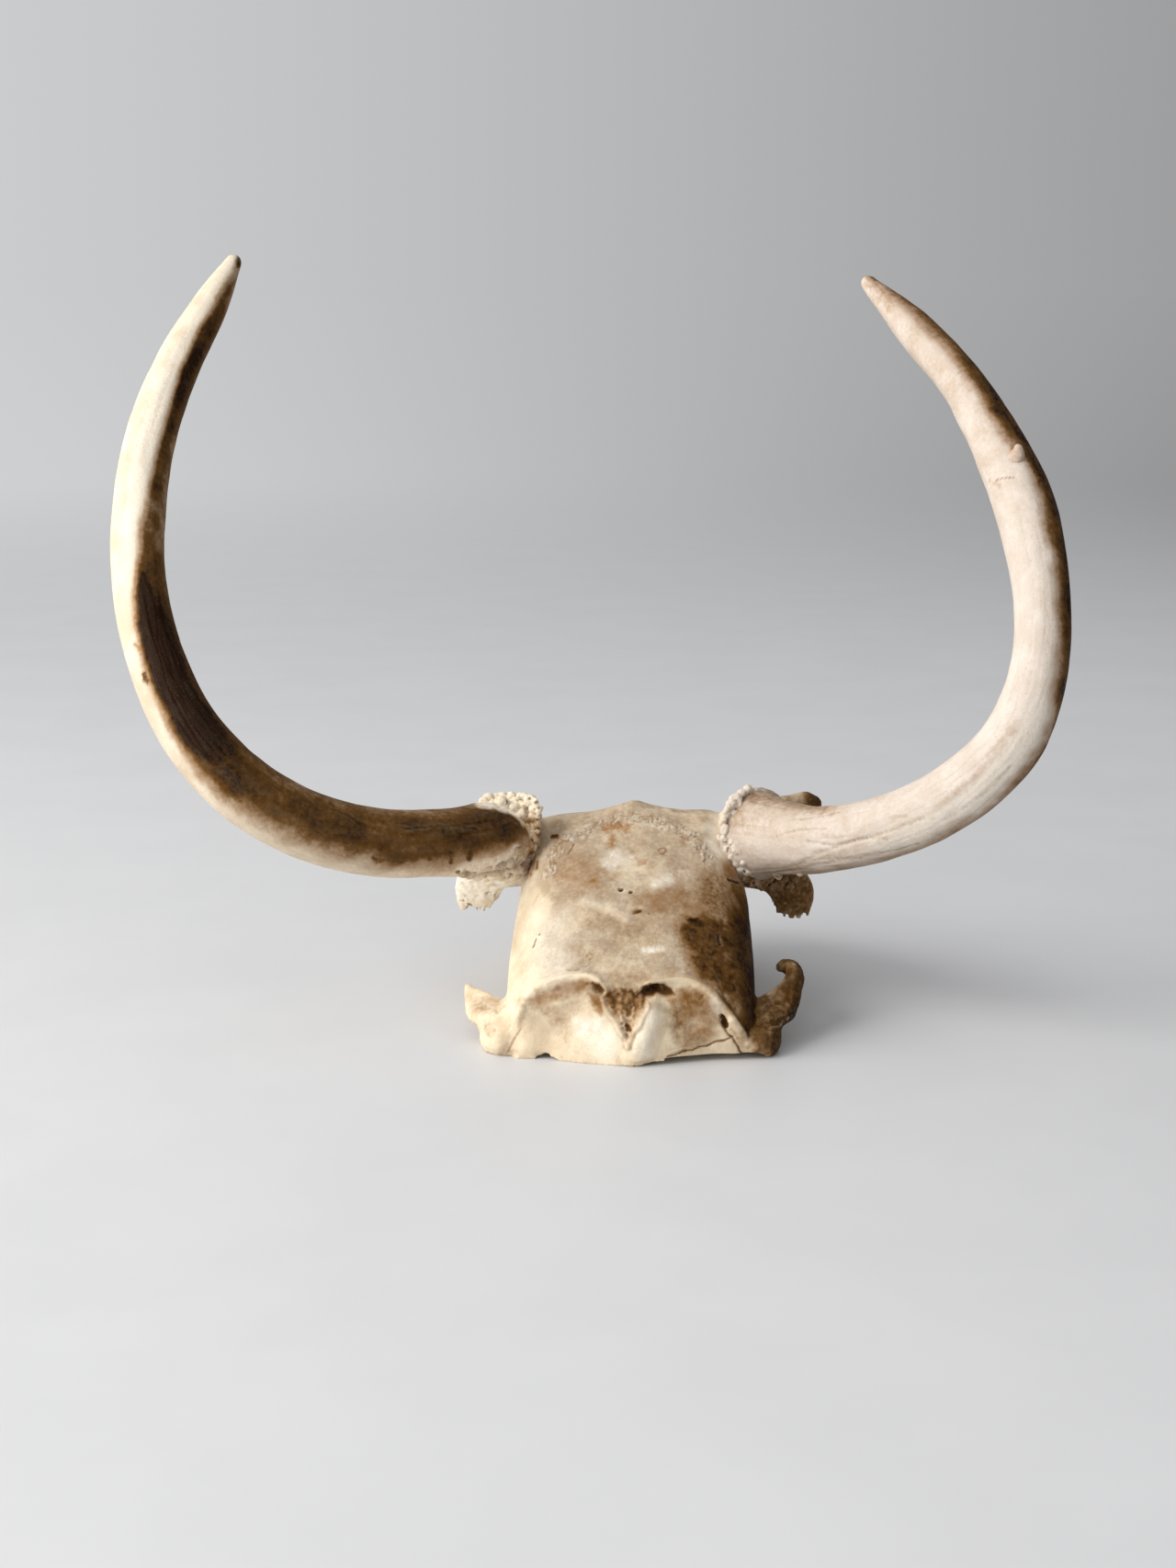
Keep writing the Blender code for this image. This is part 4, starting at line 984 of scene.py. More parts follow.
FOSSA_CUTS = (
    (4.6, 0.8, "tan", 0.6, (664, 1088), (676, 1087), (690, 1088)),
    (3.8, 0.9, "tan", 0.6, (672, 1097), (688, 1100)),
    (2.9, 0.8, "tan", 0.5, (680, 1108), (685, 1119), (686, 1127)),
    (1.2, -0.55, "amber", 0.3, (656, 1090), (660, 1101), (669, 1112), (672.6, 1120), (679, 1129),
     (683, 1140)),
    (1.1, -0.5, "amber", 0.3, (703, 1091), (705, 1099), (699, 1108), (696, 1116), (689, 1125), (683, 1140)),
    (1, -0.5, "amber", 0.4, (667, 1078)),
    (1, -0.55, "tan", 0.4, (675, 1079), (677, 1081)),
    (1, -0.5, "amber", 0.4, (684, 1078)),
    (0.9, -0.5, "tan", 0.4, (691, 1079), (692, 1082)),
    (0.8, -0.4, "amber", 0.3, (664, 1096), (668, 1102)),
    (1.3, 0.6, "umber", 0.5, (679, 1087)),
    (1.3, 0.6, "umber", 0.55, (691, 1089), (694, 1094)),
    (1.1, 0.8, "umber", 0.75, (683, 1117), (684, 1121)),
    (1, 0.5, "umber", 0.5, (669, 1092), (668, 1096)),
    (0.9, -0.5, "", 0, (674, 1101), (678, 1112)),
    (0.9, -0.5, "", 0, (690, 1097), (688, 1108)),
)
PLATE_CUTS = (
    (10, 0.9, "", 0, (601, 1103), (622, 1108), (641, 1112)),
    (6, -1.7, "", 0, (708, 1094), (707, 1112), (700, 1132), (694, 1152)),
    (5, 0.7, "", 0, (736, 1104), (746, 1120)),
    (1, 0.3, "umber", 0.45, (764.5, 1084.5), (762, 1088)),
    (1.3, 2, "umber", 0.95, (786.5, 1108), (789.5, 1117)),
    (0.45, 0.4, "umber", 0.6, (789, 1120), (792, 1125.5), (797, 1129), (799.5, 1134), (803.5, 1139.6),
     (805, 1144), (808.5, 1148)),
    (2.2, -0.9, "tan", 0.3, (796, 1112), (804, 1122), (814, 1134)),
    (0.45, 0.35, "umber", 0.55, (726, 1150.5), (735, 1148.6), (744, 1144.6), (753, 1143.4), (760, 1140),
     (770, 1138.4), (779, 1133.8), (789, 1132.4), (797, 1128.6)),
    (0.5, -0.3, "", 0, (728, 1146.5), (742, 1141.5), (752, 1139.5)),
    (1.7, 0.2, "tan", 0.4, (573, 1103), (570, 1110), (567, 1117)),
    (0.5, 0.2, "amber", 0.4, (567, 1120), (560, 1131), (553, 1145)),
)
ROOT_CUTS = (
    (3, 0.7, "tan", 0.3, (521, 1092), (531, 1096), (541, 1098)),
    (2.2, 0.5, "tan", 0.4, (529, 1118), (535, 1123)),
    (1.6, 0.6, "umber", 0.6, (836, 1113.5), (845, 1112.5), (855, 1109)),
    (1, -0.6, "", 0, (838, 1120), (848, 1117), (858, 1108)),
    (2.6, 0.8, "tan", 0.8, (845, 1090), (835, 1096), (827, 1101)),
)

# Stains: reach in mm, amount, photo pixels. The umber and tan on the right flank and the right
# zygomatic are brown stain with painted shade; rows that are painted shade only are marked.
STAINS = {
    "umber": (
        (1.4, 0.9, (602, 911), (606, 910.5)),
        (9, 0.2, (598, 905), (606, 925), (622, 942)),
        (1.3, 0.8, (690, 993.5), (696, 992)),
        (0.9, 0.7, (707, 995)),
        (0.9, 0.4, (647, 959)),
        (0.45, 0.5, (716.5, 926), (719, 923.5), (723, 923.5), (725, 926.5), (722, 929.5), (718, 929)),
        (0.45, 0.4, (638, 1041), (641, 1037.5), (645, 1039), (645, 1043), (641, 1044.5)),
        # Brown stain with painted shade on the right flank.
        (12, 0.55, (782, 968), (788, 1000), (794, 1050)),
        # Painted shade under the middle of the crest.
        (3, 0.4, (668, 1064), (684, 1069), (700, 1066)),
        (4, 0.25, (590, 962), (600, 975)),
        (5, 0.25, (645, 1003), (690, 1010)),
        (0.9, 0.8, (541, 962)),
        (1.8, 0.75, (779, 1050), (783, 1055)),
        (8, 0.6, (770, 1030), (782, 1060), (792, 1090)),
        (1.5, 0.5, (579, 933), (575, 944)),
        (7.5, 0.6, (865, 1052), (869, 1075), (860, 1095), (846, 1110)),
        (3, 0.75, (872, 1082), (866, 1098), (855, 1112), (847, 1128)),
        (8, 0.42, (832, 1100), (826, 1120), (836, 1135)),
        (8, 0.72, (850, 970), (865, 985), (878, 962)),
    ),
    "amber": (
        (2, 1, (603, 911)),
        (2.4, 0.95, (660, 901), (670, 898), (681, 901)),
        (2.2, 0.85, (666, 913), (666, 922)),
        (1.7, 1, (645, 959), (649, 958)),
        (1.4, 0.75, (696, 940), (701, 939)),
        (3, 0.5, (742, 1088), (756, 1092)),
        (3, 0.95, (792, 940), (794, 951)),
        (3.4, 1, (579, 932), (576, 941), (573, 950)),
        (3.4, 0.25, (600, 1100), (608, 1110)),
    ),
    "chalk": (
        (4.4, 0.6, (662, 937.5), (674, 934), (682, 938)),
        (3, 0.6, (712, 963), (720, 959), (728, 958)),
        (10, 0.5, (600, 1008), (600, 1034), (606, 1056)),
        (9, 0.8, (506, 966), (520, 974), (536, 966), (552, 958)),
        (7, 0.7, (786, 898), (784, 922)),
        (1.8, 0.95, (702, 1035), (711, 1034), (718, 1034)),
        (9, 1.3, (500, 958), (518, 972), (545, 966)),
        (8, 0.8, (644, 1118), (655, 1136)),
        (5, 0.7, (709, 1108), (705, 1128), (700, 1145)),
        (3, 0.5, (778, 1090), (782, 1100)),
    ),
    "tan": (
        (5, 0.5, (768, 1079), (782, 1094), (794, 1108), (806, 1124)),
        (6, 0.45, (598, 1098), (622, 1100)),
        (6, 0.45, (640, 1000), (700, 1006), (740, 1000)),
        (3, 0.7, (566, 1090), (584, 1096)),
        (9, 0.9, (748, 1000), (772, 1020), (784, 1050), (790, 1085)),
        (5, 0.7, (790, 965), (800, 985), (805, 1010)),
        (3, 0.6, (592, 900), (590, 920), (586, 945)),
        (7, 0.4, (640, 945), (650, 975)),
        (6, 0.5, (690, 905), (690, 925)),
        (4, 0.45, (676, 1055), (700, 1058)),
        (6, 0.65, (596, 1099), (606, 1107), (613, 1117)),
        (4.8, 0.5, (634, 1098), (637, 1112), (640, 1122)),
        (4, 1, (731, 1088), (740, 1101), (743, 1114)),
        (6, 0.75, (742, 1128), (770, 1124)),
        (3, 0.6, (545, 1148), (556, 1146)),
        (12, 1.1, (860, 1060), (860, 1090), (840, 1120), (832, 1135)),
        (6, 0.85, (845, 975), (862, 985), (875, 975)),
    ),
    "grey": (
        # Painted shade: a grey band across the roof.
        (7, 0.8, (640, 984), (690, 978), (740, 985)),
        # Painted shade under the middle of the crest.
        (5, 0.6, (668, 1066), (684, 1072), (700, 1066)),
        (5, 0.5, (770, 1098), (778, 1096)),
    ),
}


def seams(skin, labels):
    """Shallow line along each suture between two bones."""
    a, b = skin.edges[:, 0], skin.edges[:, 1]
    cross = labels[a] != labels[b]
    line = np.zeros(len(skin.v))
    line[a[cross]] = 1.0
    line[b[cross]] = 1.0
    skin.lift -= SEAM_DEPTH * np.maximum(skin.average(line), line * 0.9)
    stain_all(skin, "tan", 0.35 * line * smoothstep(-0.2, 0.6, noise(skin.v, 3.0, 8)))


def crest(skin):
    """Lip of the nuchal crest: the roof flares up to it, and the plate falls away below it."""
    soft = skin.n.copy()
    for _ in range(SOFTENING):
        soft = skin.average(soft)
    soft /= np.maximum(np.linalg.norm(soft, axis=1), 1e-9)[:, None]
    for pixels in LIPS:
        path, _ = trace(skin, pixels)
        index, distance, along = skin.near(path, LIP_REACH)
        plate = smoothstep(0.45, 0.8, -skin.n[index, 1])
        ends = smoothstep(0, 0.12, along) * smoothstep(0, 0.08, 1.0 - along)
        ends = 0.35 + 0.65 * ends
        wavy = 1.0 + 0.22 * noise(skin.v[index], 4.0, 12)
        flare = (1.0 - plate) * profile(distance, 12.0, 1.0) + plate * profile(distance, 2.2, 1.0)
        skin.shift[index] += soft[index] * (LIP_SWELL * flare * ends * wavy)[:, None]
        below = plate * profile(np.abs(distance - 4.0), 4.0, 1.0)
        skin.shift[index, 1] += below * ends
    for _ in range(4):
        skin.shift = skin.average(skin.shift)


def pores(skin, weight, size, depth, amount, seed, reach=0.3):
    """Small pits scattered where the weight is above 0."""
    index = np.nonzero(weight > 0.02)[0]
    near = cells(skin.v[index], size, seed)
    pit = ease_out(reach * 0.4, reach, near) * weight[index]
    skin.lift[index] -= depth * pit
    tint(skin, "umber", index, amount * pit)


def suture_relief(skin, path, reach, depth, seed):
    """Fine winding ridges and valleys along a suture."""
    index, distance, _ = skin.near(np.array(path), reach)
    weight = profile(distance + 0.3 * reach * noise(skin.v[index], 2.2, seed), reach, 0.6)
    place = warp(skin.v[index], 2.0, 0.8, seed + 1) * (1.0, 0.55, 0.55)
    valley = ease_out(0.02, 0.3, np.abs(noise(place, 1.3, seed + 2)))
    lumps = smoothstep(-0.1, 0.5, noise(place * (1.0, 1.3, 1.3), 1.9, seed + 3))
    skin.lift[index] += weight * (0.1 - depth * valley + 0.24 * lumps)
    tint(skin, "rough", index, weight)
    tint(skin, "chalk", index, weight * (0.1 + 0.26 * lumps) * (1.0 - valley))
    tint(skin, "amber", index, 0.3 * weight * valley)


def ragged_edges(skin):
    """Broken, porous lower edges of the orbit horns and the process tips."""
    v, n = skin.v, skin.n
    horn = smoothstep(46, 49, np.abs(v[:, 0])) * smoothstep(62, 66, v[:, 1])
    rim = horn * smoothstep(44, 38, v[:, 2]) * smoothstep(-0.1, 0.7, -n[:, 2])
    lobes = noise(v * (1.0, 0.6, 0.4), 2.3, 31) + 0.5 * noise(v, 1.1, 32)
    skin.shift[:, 2] -= rim * (0.8 + 1.9 * np.round(lobes * 1.5) / 1.5)
    skin.lift += horn * 0.25 * fractal(v, 2.2, 2, 33)
    pores(skin, horn * smoothstep(-0.3, 0.5, noise(v, 5.0, 34)), 1.9, 0.5, 0.3, 35)
    skin.lift += horn * 0.22 * fractal(v, 1.1, 2, 37)
    arch = smoothstep(43, 46, np.abs(v[:, 0])) * ease_out(48, 52, v[:, 1])
    skin.lift += arch * 0.4 * fractal(v, 3.2, 3, 36)


def occiput_hollows(skin):
    """Rough fossa between two ridges, pits under the crest and the brown hollows beside them, with painted
    shade in the pits, at the fossa's top and under the crest's lips.
    """
    v = skin.v
    index, weight = region(skin, FOSSA, 4.0, 2.0, 60)
    spot = v[index]
    # The fossa is browner towards its top under the crest: stain with painted shade.
    high = ease_out(1088, 1122, project(skin)[0][index, 1])
    skin.lift[index] += weight * 0.5 * fractal(spot * (1.0, 1.0, 0.5), 2.8, 3, 61)
    full = np.zeros(len(v))
    full[index] = weight
    pores(skin, full, 2.6, 0.5, 0.3, 62, 0.4)
    amber = np.clip(0.28 + 0.25 * high + 0.45 * fractal(spot, 2.0, 2, 63), 0.0, 0.8)
    umber = np.clip(-0.02 + 0.52 * high + 0.75 * fractal(spot, 1.7, 2, 64), 0.0, 0.8)
    tint(skin, "tan", index, weight * (0.4 + 0.5 * high))
    tint(skin, "amber", index, weight * amber)
    tint(skin, "umber", index, weight * umber)
    for depth, dark, seed, *outline in PITS:
        index, weight = region(skin, outline, 3.0, 2.0, seed)
        skin.shift[index, 1] += depth * weight
        # Painted shade: umber in the pit's recess.
        tint(skin, "umber", index, dark * weight)
        index, weight = region(skin, outline, 9.0, 3.0, seed + 1)
        tint(skin, "amber", index, 0.8 * weight)
        tint(skin, "umber", index, 0.34 * weight)
    # Brown hollows: stain, with painted shade under the crest's lips and on the right side.
    for soft, tan, amber, umber, seed, *outline in HOLLOWS:
        index, weight = region(skin, outline, soft, 5.0, seed)
        drift = 1.0 + 0.45 * fractal(v[index], 2.6, 3, seed + 3)
        for name, amount in (("tan", tan), ("amber", amber), ("umber", umber)):
            tint(skin, name, index, amount * weight * drift)


def smooth_joins(skin):
    """Blend the fused solids: first the mastoid lobes, then the plate, then the whole cap lightly."""
    v = skin.v
    lobe = smoothstep(33, 37, np.abs(v[:, 0])) * ease_out(27, 33, v[:, 1])
    lobe = lobe * ease_out(13, 17, v[:, 2]) * smoothstep(0.1, 1.2, v[:, 2])
    skin.relax(50, lobe)
    back = ease_out(9, 13, v[:, 1]) * ease_out(36, 40, np.abs(v[:, 0]))
    back = back * smoothstep(0.1, 1.5, v[:, 2])
    skin.relax(36, back)
    skin.relax(2, restore=SWELL_BACK)


def shape_brow(skin):
    """Swelling of the brow on the right and its dip on the left."""
    v = skin.v
    x = v[:, 0]
    brow = smoothstep(54, 64, v[:, 1]) * ease_out(82, 94, v[:, 1])
    brow = brow * smoothstep(0.3, 0.7, skin.n[:, 2])
    swell = 1.7 * smoothstep(16, 27, x) * ease_out(34, 46, x)
    v[:, 2] += brow * (swell - np.exp(-((x + 17.0) / 8.0) ** 2))
    skin.refresh()


def shape_crest(skin):
    """Raised lip of the crest, with the plate below it smoothed."""
    crest(skin)
    skin.v = skin.v + skin.shift
    skin.shift[:] = 0.0
    weight = np.zeros(len(skin.v))
    for pixels in LIPS:
        index, distance, _ = skin.near(trace(skin, pixels)[0], 12.0)
        band = smoothstep(1.6, 3.4, distance) * ease_out(9, 12, distance)
        weight[index] = np.maximum(weight[index], band * smoothstep(0.3, 0.6, -skin.n[index, 1]))
    skin.relax(44, weight)
    skin.refresh()


def shape_cap(skin, labels):
    """Relief of the cap: undulation, sutures, pits, cracks and broken edges."""
    smooth_joins(skin)
    shape_brow(skin)
    shape_crest(skin)
    v = skin.v
    ragged_edges(skin)
    roof = smoothstep(0.2, 0.7, skin.n[:, 2])
    skin.lift += 0.25 * fractal(v, 9.0, 2, 3)
    skin.lift += 0.09 * fractal(v * (1.0, 0.5, 0.6), 2.2, 2, 4) * (0.5 + roof)
    suture_relief(skin, CORONAL_ARC[2:-3], 4.2, 0.22, 50)
    seams(skin, labels)
    for cut in ROOF_CUTS + FOSSA_CUTS + PLATE_CUTS + ROOT_CUTS:
        carve(skin, cut, 0.1 if cut[1] < 0.0 else 0.4)
    for name, stains in STAINS.items():
        for reach, amount, *pixels in stains:
            mark(skin, name, pixels, reach, amount)
    occiput_hollows(skin)
    x, y = project(skin)[0].T
    low = smoothstep(1002, 1014, y) * ease_out(1050, 1058, y) * roof
    stain_all(skin, "rough", 0.6 * low)
    raised = smoothstep(664, 718, x) * ease_out(822, 838, x)
    raised += 0.8 * smoothstep(588, 594, x) * ease_out(600, 612, x)
    raised *= smoothstep(2.8, 0.3, v[:, 2]) * ease_out(9, 14, v[:, 1])
    skin.shift[:, 2] += OCCIPUT_LIFT * raised
    winding = noise(warp(v, 2.0, 0.8, 45) * (1.0, 0.35, 0.35), 1.1, 46)
    skin.lift -= 0.07 * low * ease_out(0, 0.3, np.abs(winding))


def settle(skin, rounds, deep):
    """Move the skin by its relief, keep it on the floor, and paint shade into its crevices and a highlight
    onto its edges.
    """
    skin.v = skin.v + skin.shift + skin.n * skin.lift[:, None]
    skin.v[:, 2] = np.maximum(skin.v[:, 2], 0.0)
    hollow = skin.hollows(rounds)
    # Painted shade in the crevices and a painted highlight on convex edges, both from the curvature.
    skin.paint["crevice_shade"] = np.clip(hollow * deep, 0.0, 1.0)
    skin.paint["edge"] = np.clip(-hollow * deep * 0.8, 0.0, 1.0)
    for name in CHANNELS:
        skin.channel(name)


def tone_cap(skin):
    """Broad tones of the cap: tan-grey roof and brown right flank, both partly painted shade, and painted
    shade on undersides and hollows.
    """
    v, n = skin.v, skin.n
    drift = fractal(v, 7.0, 3, 71)
    # Grey-tan of the up-facing roof: the bone's own tone, deepened as painted shade of a roof that takes
    # less light.
    top = smoothstep(0.35, 0.8, n[:, 2]) * ease_out(24, 32, np.abs(v[:, 0]))
    stain_all(skin, "grey", top * np.clip(0.86 + 0.7 * drift, 0.25, 1.2))
    stain_all(skin, "tan", top * np.clip(0.28 + 0.7 * fractal(v, 3.4, 4, 72), 0.0, 0.9))
    # Brown right flank, facing away from the light: brown stain with painted shade.
    flank = smoothstep(0.25, 0.8, n[:, 0]) * smoothstep(24, 32, v[:, 0])
    flank *= 1.0 - 0.75 * smoothstep(48, 84, v[:, 1] + 9.0 * drift)
    level = project(skin)[0][:, 1] + 12.0 * drift
    flank *= smoothstep(905, 952, level)
    stain_all(skin, "tan", flank * np.clip(0.75 + 0.5 * drift, 0.2, 1.0))
    brown = flank * np.clip(0.92 + 0.3 * drift, 0.6, 1.05)
    stain_all(skin, "umber", brown * (0.5 + 0.5 * smoothstep(955, 1010, level)))
    patchy = np.clip(0.1 + 0.9 * fractal(v, 5.0, 4, 73), 0.0, 0.6)
    stain_all(skin, "tan", patchy * (0.35 + 0.65 * smoothstep(60, 75, v[:, 1])))
    front = 0.5 * patchy * smoothstep(80, 110, v[:, 1])
    stain_all(skin, "umber", front * smoothstep(0.1, 0.5, fractal(v, 3.0, 3, 74)))
    # Painted shade: tan on the down-facing undersides above the base.
    inside = smoothstep(0.1, 0.6, -n[:, 2]) * smoothstep(1, 6, v[:, 2])
    stain_all(skin, "tan", inside * np.clip(0.5 + 0.5 * drift, 0.0, 0.9))


skull = skull_skin()
labels = bone_labels(bone_fields(skull), skull.v[:, 0])
shape_cap(skull, labels)
tone_cap(skull)
settle(skull, 3, 5.0)


# ---------------------------------------------------------------- antlers

BEAM_STEP = 0.6
BEAM_COUNT = 132
BEAM_SEED = {"left": 40, "right": 60}
BURR_SIDES = 96
TINE_STEP = 0.5
TINE_SIDES = 40


def antler_skin(side):
    """Main beam as a fine tube with grooves and small lumps."""
    _, heading = burr_axis(side)
    rows = spline_path(BEAMS[side], BEAM_STEP)
    arc = np.concatenate([[0.0], np.cumsum(np.linalg.norm(np.diff(rows[:, :3], axis=0), axis=1))])
    tip = rows[-1, :3] - rows[-2, :3]
    tip /= np.linalg.norm(tip)
    extra = np.linspace(0.6, 1.4, 3)
    ends = rows[-1, :3] + tip[None, :] * extra[:, None]
    rows = np.vstack([rows, np.hstack([ends, np.full((3, 1), rows[-1, 3])])])
    arc = np.concatenate([arc, arc[-1] + extra])
    along, sides, others = frames_along(rows[:, :3], heading)
    sight = rows[:, :3] - CAMERA
    cross = np.cross(sight, along)
    cross /= np.linalg.norm(cross, axis=1)[:, None]
    inward = np.array([0.0, 0.0, 150.0]) - rows[:, :3]
    cross *= np.sign(inward[:, 0] * cross[:, 0] + inward[:, 2] * cross[:, 2])[:, None]
    theta = np.linspace(0.0, 2.0 * math.pi, BEAM_COUNT, endpoint=False)
    left = np.clip((arc[-1] - arc) / 2.6, 0.0, 1.0)
    radius = rows[:, 3] * 0.5 * np.sqrt(np.clip(1.0 - (1.0 - left) ** 2, 0.02, 1.0))
    s_grid, t_grid = (g.ravel() for g in np.meshgrid(arc, theta, indexing="ij"))
    r = np.repeat(radius, BEAM_COUNT)
    fade = np.repeat(left, BEAM_COUNT)
    around = np.stack([np.cos(t_grid) * r, np.sin(t_grid) * r, s_grid], axis=1)
    seed = BEAM_SEED[side]
    wavy = warp(around, 9.0, 1.1, seed)
    base = 0.3 + 0.7 * np.exp(-s_grid / 120.0)
    valley = ease_out(0, 0.34, np.abs(noise(wavy * (1.0, 1.0, 0.07), 3.6, seed + 1)))
    fine = ease_out(0, 0.4, np.abs(noise(wavy * (1.0, 1.0, 0.1), 1.7, seed + 2)))
    grooves = (0.15 * valley + 0.08 * fine) * base * BEAM_RUGGED[side]
    lumps = 0.28 * fractal(around * (1.0, 1.0, 0.6), 7.0, 2, seed + 3)
    lumps += 0.10 * noise(around * (1.0, 1.0, 0.3), 3.0, seed + 4)
    foot = np.exp(-s_grid / 8.0)
    knots = np.clip(0.45 - cells(around, 2.6, seed + 5), 0.0, 1.0) * BEAM_KNOTS[side] * foot
    r = r + (0.15 + lumps - grooves + knots + FOOT_FLARE[side] * foot) * fade
    total = len(arc)
    ring = sides[:, None, :] * np.cos(theta)[None, :, None]
    ring = ring + others[:, None, :] * np.sin(theta)[None, :, None]
    verts = (rows[:, None, :3] + ring * r.reshape(total, BEAM_COUNT, 1)).reshape(-1, 3)
    i, j = np.meshgrid(np.arange(total - 1), np.arange(BEAM_COUNT), indexing="ij")
    low, k = i * BEAM_COUNT, (j + 1) % BEAM_COUNT
    quads = np.stack([low + j, low + k, low + BEAM_COUNT + k, low + BEAM_COUNT + j], axis=-1)
    skin = Skin(quad_mesh("beam", verts, quads.reshape(-1, 4)))
    last = (total - 1) * BEAM_COUNT + np.arange(BEAM_COUNT)
    skin.t = np.stack([last, np.roll(last, -1), np.full(BEAM_COUNT, len(skin.v))], axis=1)
    skin.v = np.vstack([skin.v, rows[-1, :3] + tip * 0.25])
    skin.prepare()
    if np.einsum("ij,ij->i", skin.n[:-1], ring.reshape(-1, 3)).mean() < 0.0:
        skin.f = skin.f[:, ::-1].copy()
        skin.t = skin.t[:, ::-1].copy()
        skin.refresh()
    skin.s = np.append(s_grid, arc[-1])
    skin.across = np.append(np.einsum("ijk,ik->ij", ring, cross).ravel(), 0.0)
    streak = fractal(around * (1.0, 1.0, 0.07), 1.3, 3, seed + 6)
    skin.paint["grain"] = np.append(np.clip(0.5 + 0.6 * streak, 0.0, 1.0), 0.5)
    skin.channel("tan")[:-1] = 0.3 * grooves / 0.23
    return skin


# Brown of each beam, stain together with painted shade of the side away from the light: distance
# from the burr in mm, where across the beam it begins (-1 outer edge, 1 inner edge as the camera
# sees it), how softly, how dark, and its amber fringe.
BEAM_TONE = {
    "left": (
        (0, -0.1, 0.45, 0.84, 0.1), (15, -0.25, 0.42, 0.84, 0.2), (30, -0.48, 0.45, 0.8, 0.1),
        (45, -0.68, 0.42, 0.78, 0.1), (60, -0.5, 0.45, 0.8, 0), (75, -0.4, 0.5, 0.8, 0),
        (90, -0.38, 0.55, 0.8, 0), (105, -0.45, 0.42, 0.86, 0.1), (120, -0.46, 0.3, 1.05, 0.4),
        (135, -0.4, 0.22, 1.15, 0.5), (150, -0.42, 0.24, 1.15, 0.5), (165, -0.32, 0.18, 1.1, 0.5),
        (180, -0.04, 0.17, 0.9, 0.6), (195, 0.14, 0.17, 0.7, 0.5), (210, 0.28, 0.15, 0.66, 0.5),
        (225, 0.42, 0.1, 0.72, 0.5), (240, 0.46, 0.1, 0.8, 0.6), (255, 0.38, 0.11, 0.95, 0.7),
        (270, 0.24, 0.13, 1, 0.6), (285, 0.12, 0.18, 0.9, 0.5), (300, 0.2, 0.28, 0.74, 0.4),
        (315, 0.5, 0.42, 0.5, 0.4), (330, 0.6, 0.5, 0.6, 0.4),
    ),
    "right": (
        (0, 0.9, 0.3, 0.4, 0), (60, 0.92, 0.3, 0.4, 0), (95, 0.86, 0.3, 0.6, 0),
        (118, 0.78, 0.34, 0.84, 0), (135, 0.66, 0.36, 0.92, 0), (165, 0.62, 0.36, 0.94, 0),
        (195, 0.66, 0.34, 0.96, 0.1), (205, 0.58, 0.36, 0.94, 0.2), (225, 0.24, 0.45, 0.86, 0.1),
        (240, 0.38, 0.42, 0.84, 0.1), (262, 0.5, 0.5, 0.72, 0.1), (290, 0.4, 0.6, 0.62, 0.1),
        (320, 0.3, 0.6, 0.5, 0.2),
    ),
}
# Dark patch on the outer side of the left beam, by photo pixels.
PATCH = (
    (153, 620), (159, 624), (166, 640), (168, 655), (175, 680), (184, 698), (197, 713), (204, 738),
    (217, 760), (230, 775), (240, 792), (237, 804), (228, 816), (218, 820), (211, 812), (204, 797),
    (195, 785), (189, 771), (191, 759), (185, 758), (177, 748), (169, 730), (163, 714), (157, 700),
    (152, 680), (151, 660), (151, 640),
)


# Bare knobbly bone at the foot of the left beam: share of chalk, outline in photo pixels.
BARE = (
    (0.8, (512, 862), (514, 873), (522, 878), (540, 881), (554, 885), (566, 894), (574, 903), (580, 913),
     (600, 915), (600, 850)),
    (0.85, (498, 945), (520, 938), (545, 932), (560, 920), (580, 925), (575, 945), (560, 970), (498, 970)),
)


def beam_tone(skin, side):
    """Brown side of a beam, stain and painted shade together, with a soft wandering edge."""
    table = np.array(BEAM_TONE[side])
    edge, soft, dark, fringe = (np.interp(skin.s, table[:, 0], table[:, k]) for k in (1, 2, 3, 4))
    across = skin.across if side == "left" else -skin.across
    across = across + 0.15 * fractal(skin.v, 7.0, 4, 95) * np.clip(soft * 4.0, 0.4, 1.3)
    share = smoothstep(edge - soft, edge + soft, across)
    mottle = 1.0 + 0.3 * fractal(skin.v, 6.0, 4, 96) * np.clip(1.2 - dark, 0.1, 0.6) / 0.4
    # Brown stain with painted shade on the side away from the light.
    stain_all(skin, "umber", dark * share * mottle)
    wide = smoothstep(edge - 1.15 * soft - 0.04, edge + 0.1, across)
    stain_all(skin, "tan", 0.6 * wide * np.clip(dark + 0.2, 0.0, 1.0))
    stain_all(skin, "amber", fringe * ease_out(0, 0.2, np.abs(across - edge + 0.06)))
    if side == "left":
        left_tone(skin, across, edge, soft)
    else:
        right_tone(skin, across)
    stain_all(skin, "tan", 0.25 * np.clip(fractal(skin.v, 12.0, 3, 91), 0.0, 1.0))


def right_tone(skin, across):
    """Tan ends of the right beam and painted light on its middle, as if reflected up from below."""
    ends = 0.32 * np.exp(-skin.s / 45.0) + 0.34 * smoothstep(130, 260, skin.s)
    ends += 0.34 * np.exp(-skin.s / 40.0) * smoothstep(0.2, -0.5, across)
    stain_all(skin, "tan", ends * np.clip(1.0 + 0.9 * fractal(skin.v, 5.0, 3, 98), 0.2, 1.8))
    # Painted light: chalk brightens the middle of the beam.
    bright = smoothstep(45, 70, skin.s) * ease_out(110, 135, skin.s)
    bright *= smoothstep(-0.1, 0.25, across) * ease_out(0.6, 0.85, across)
    stain_all(skin, "chalk", 0.4 * bright)


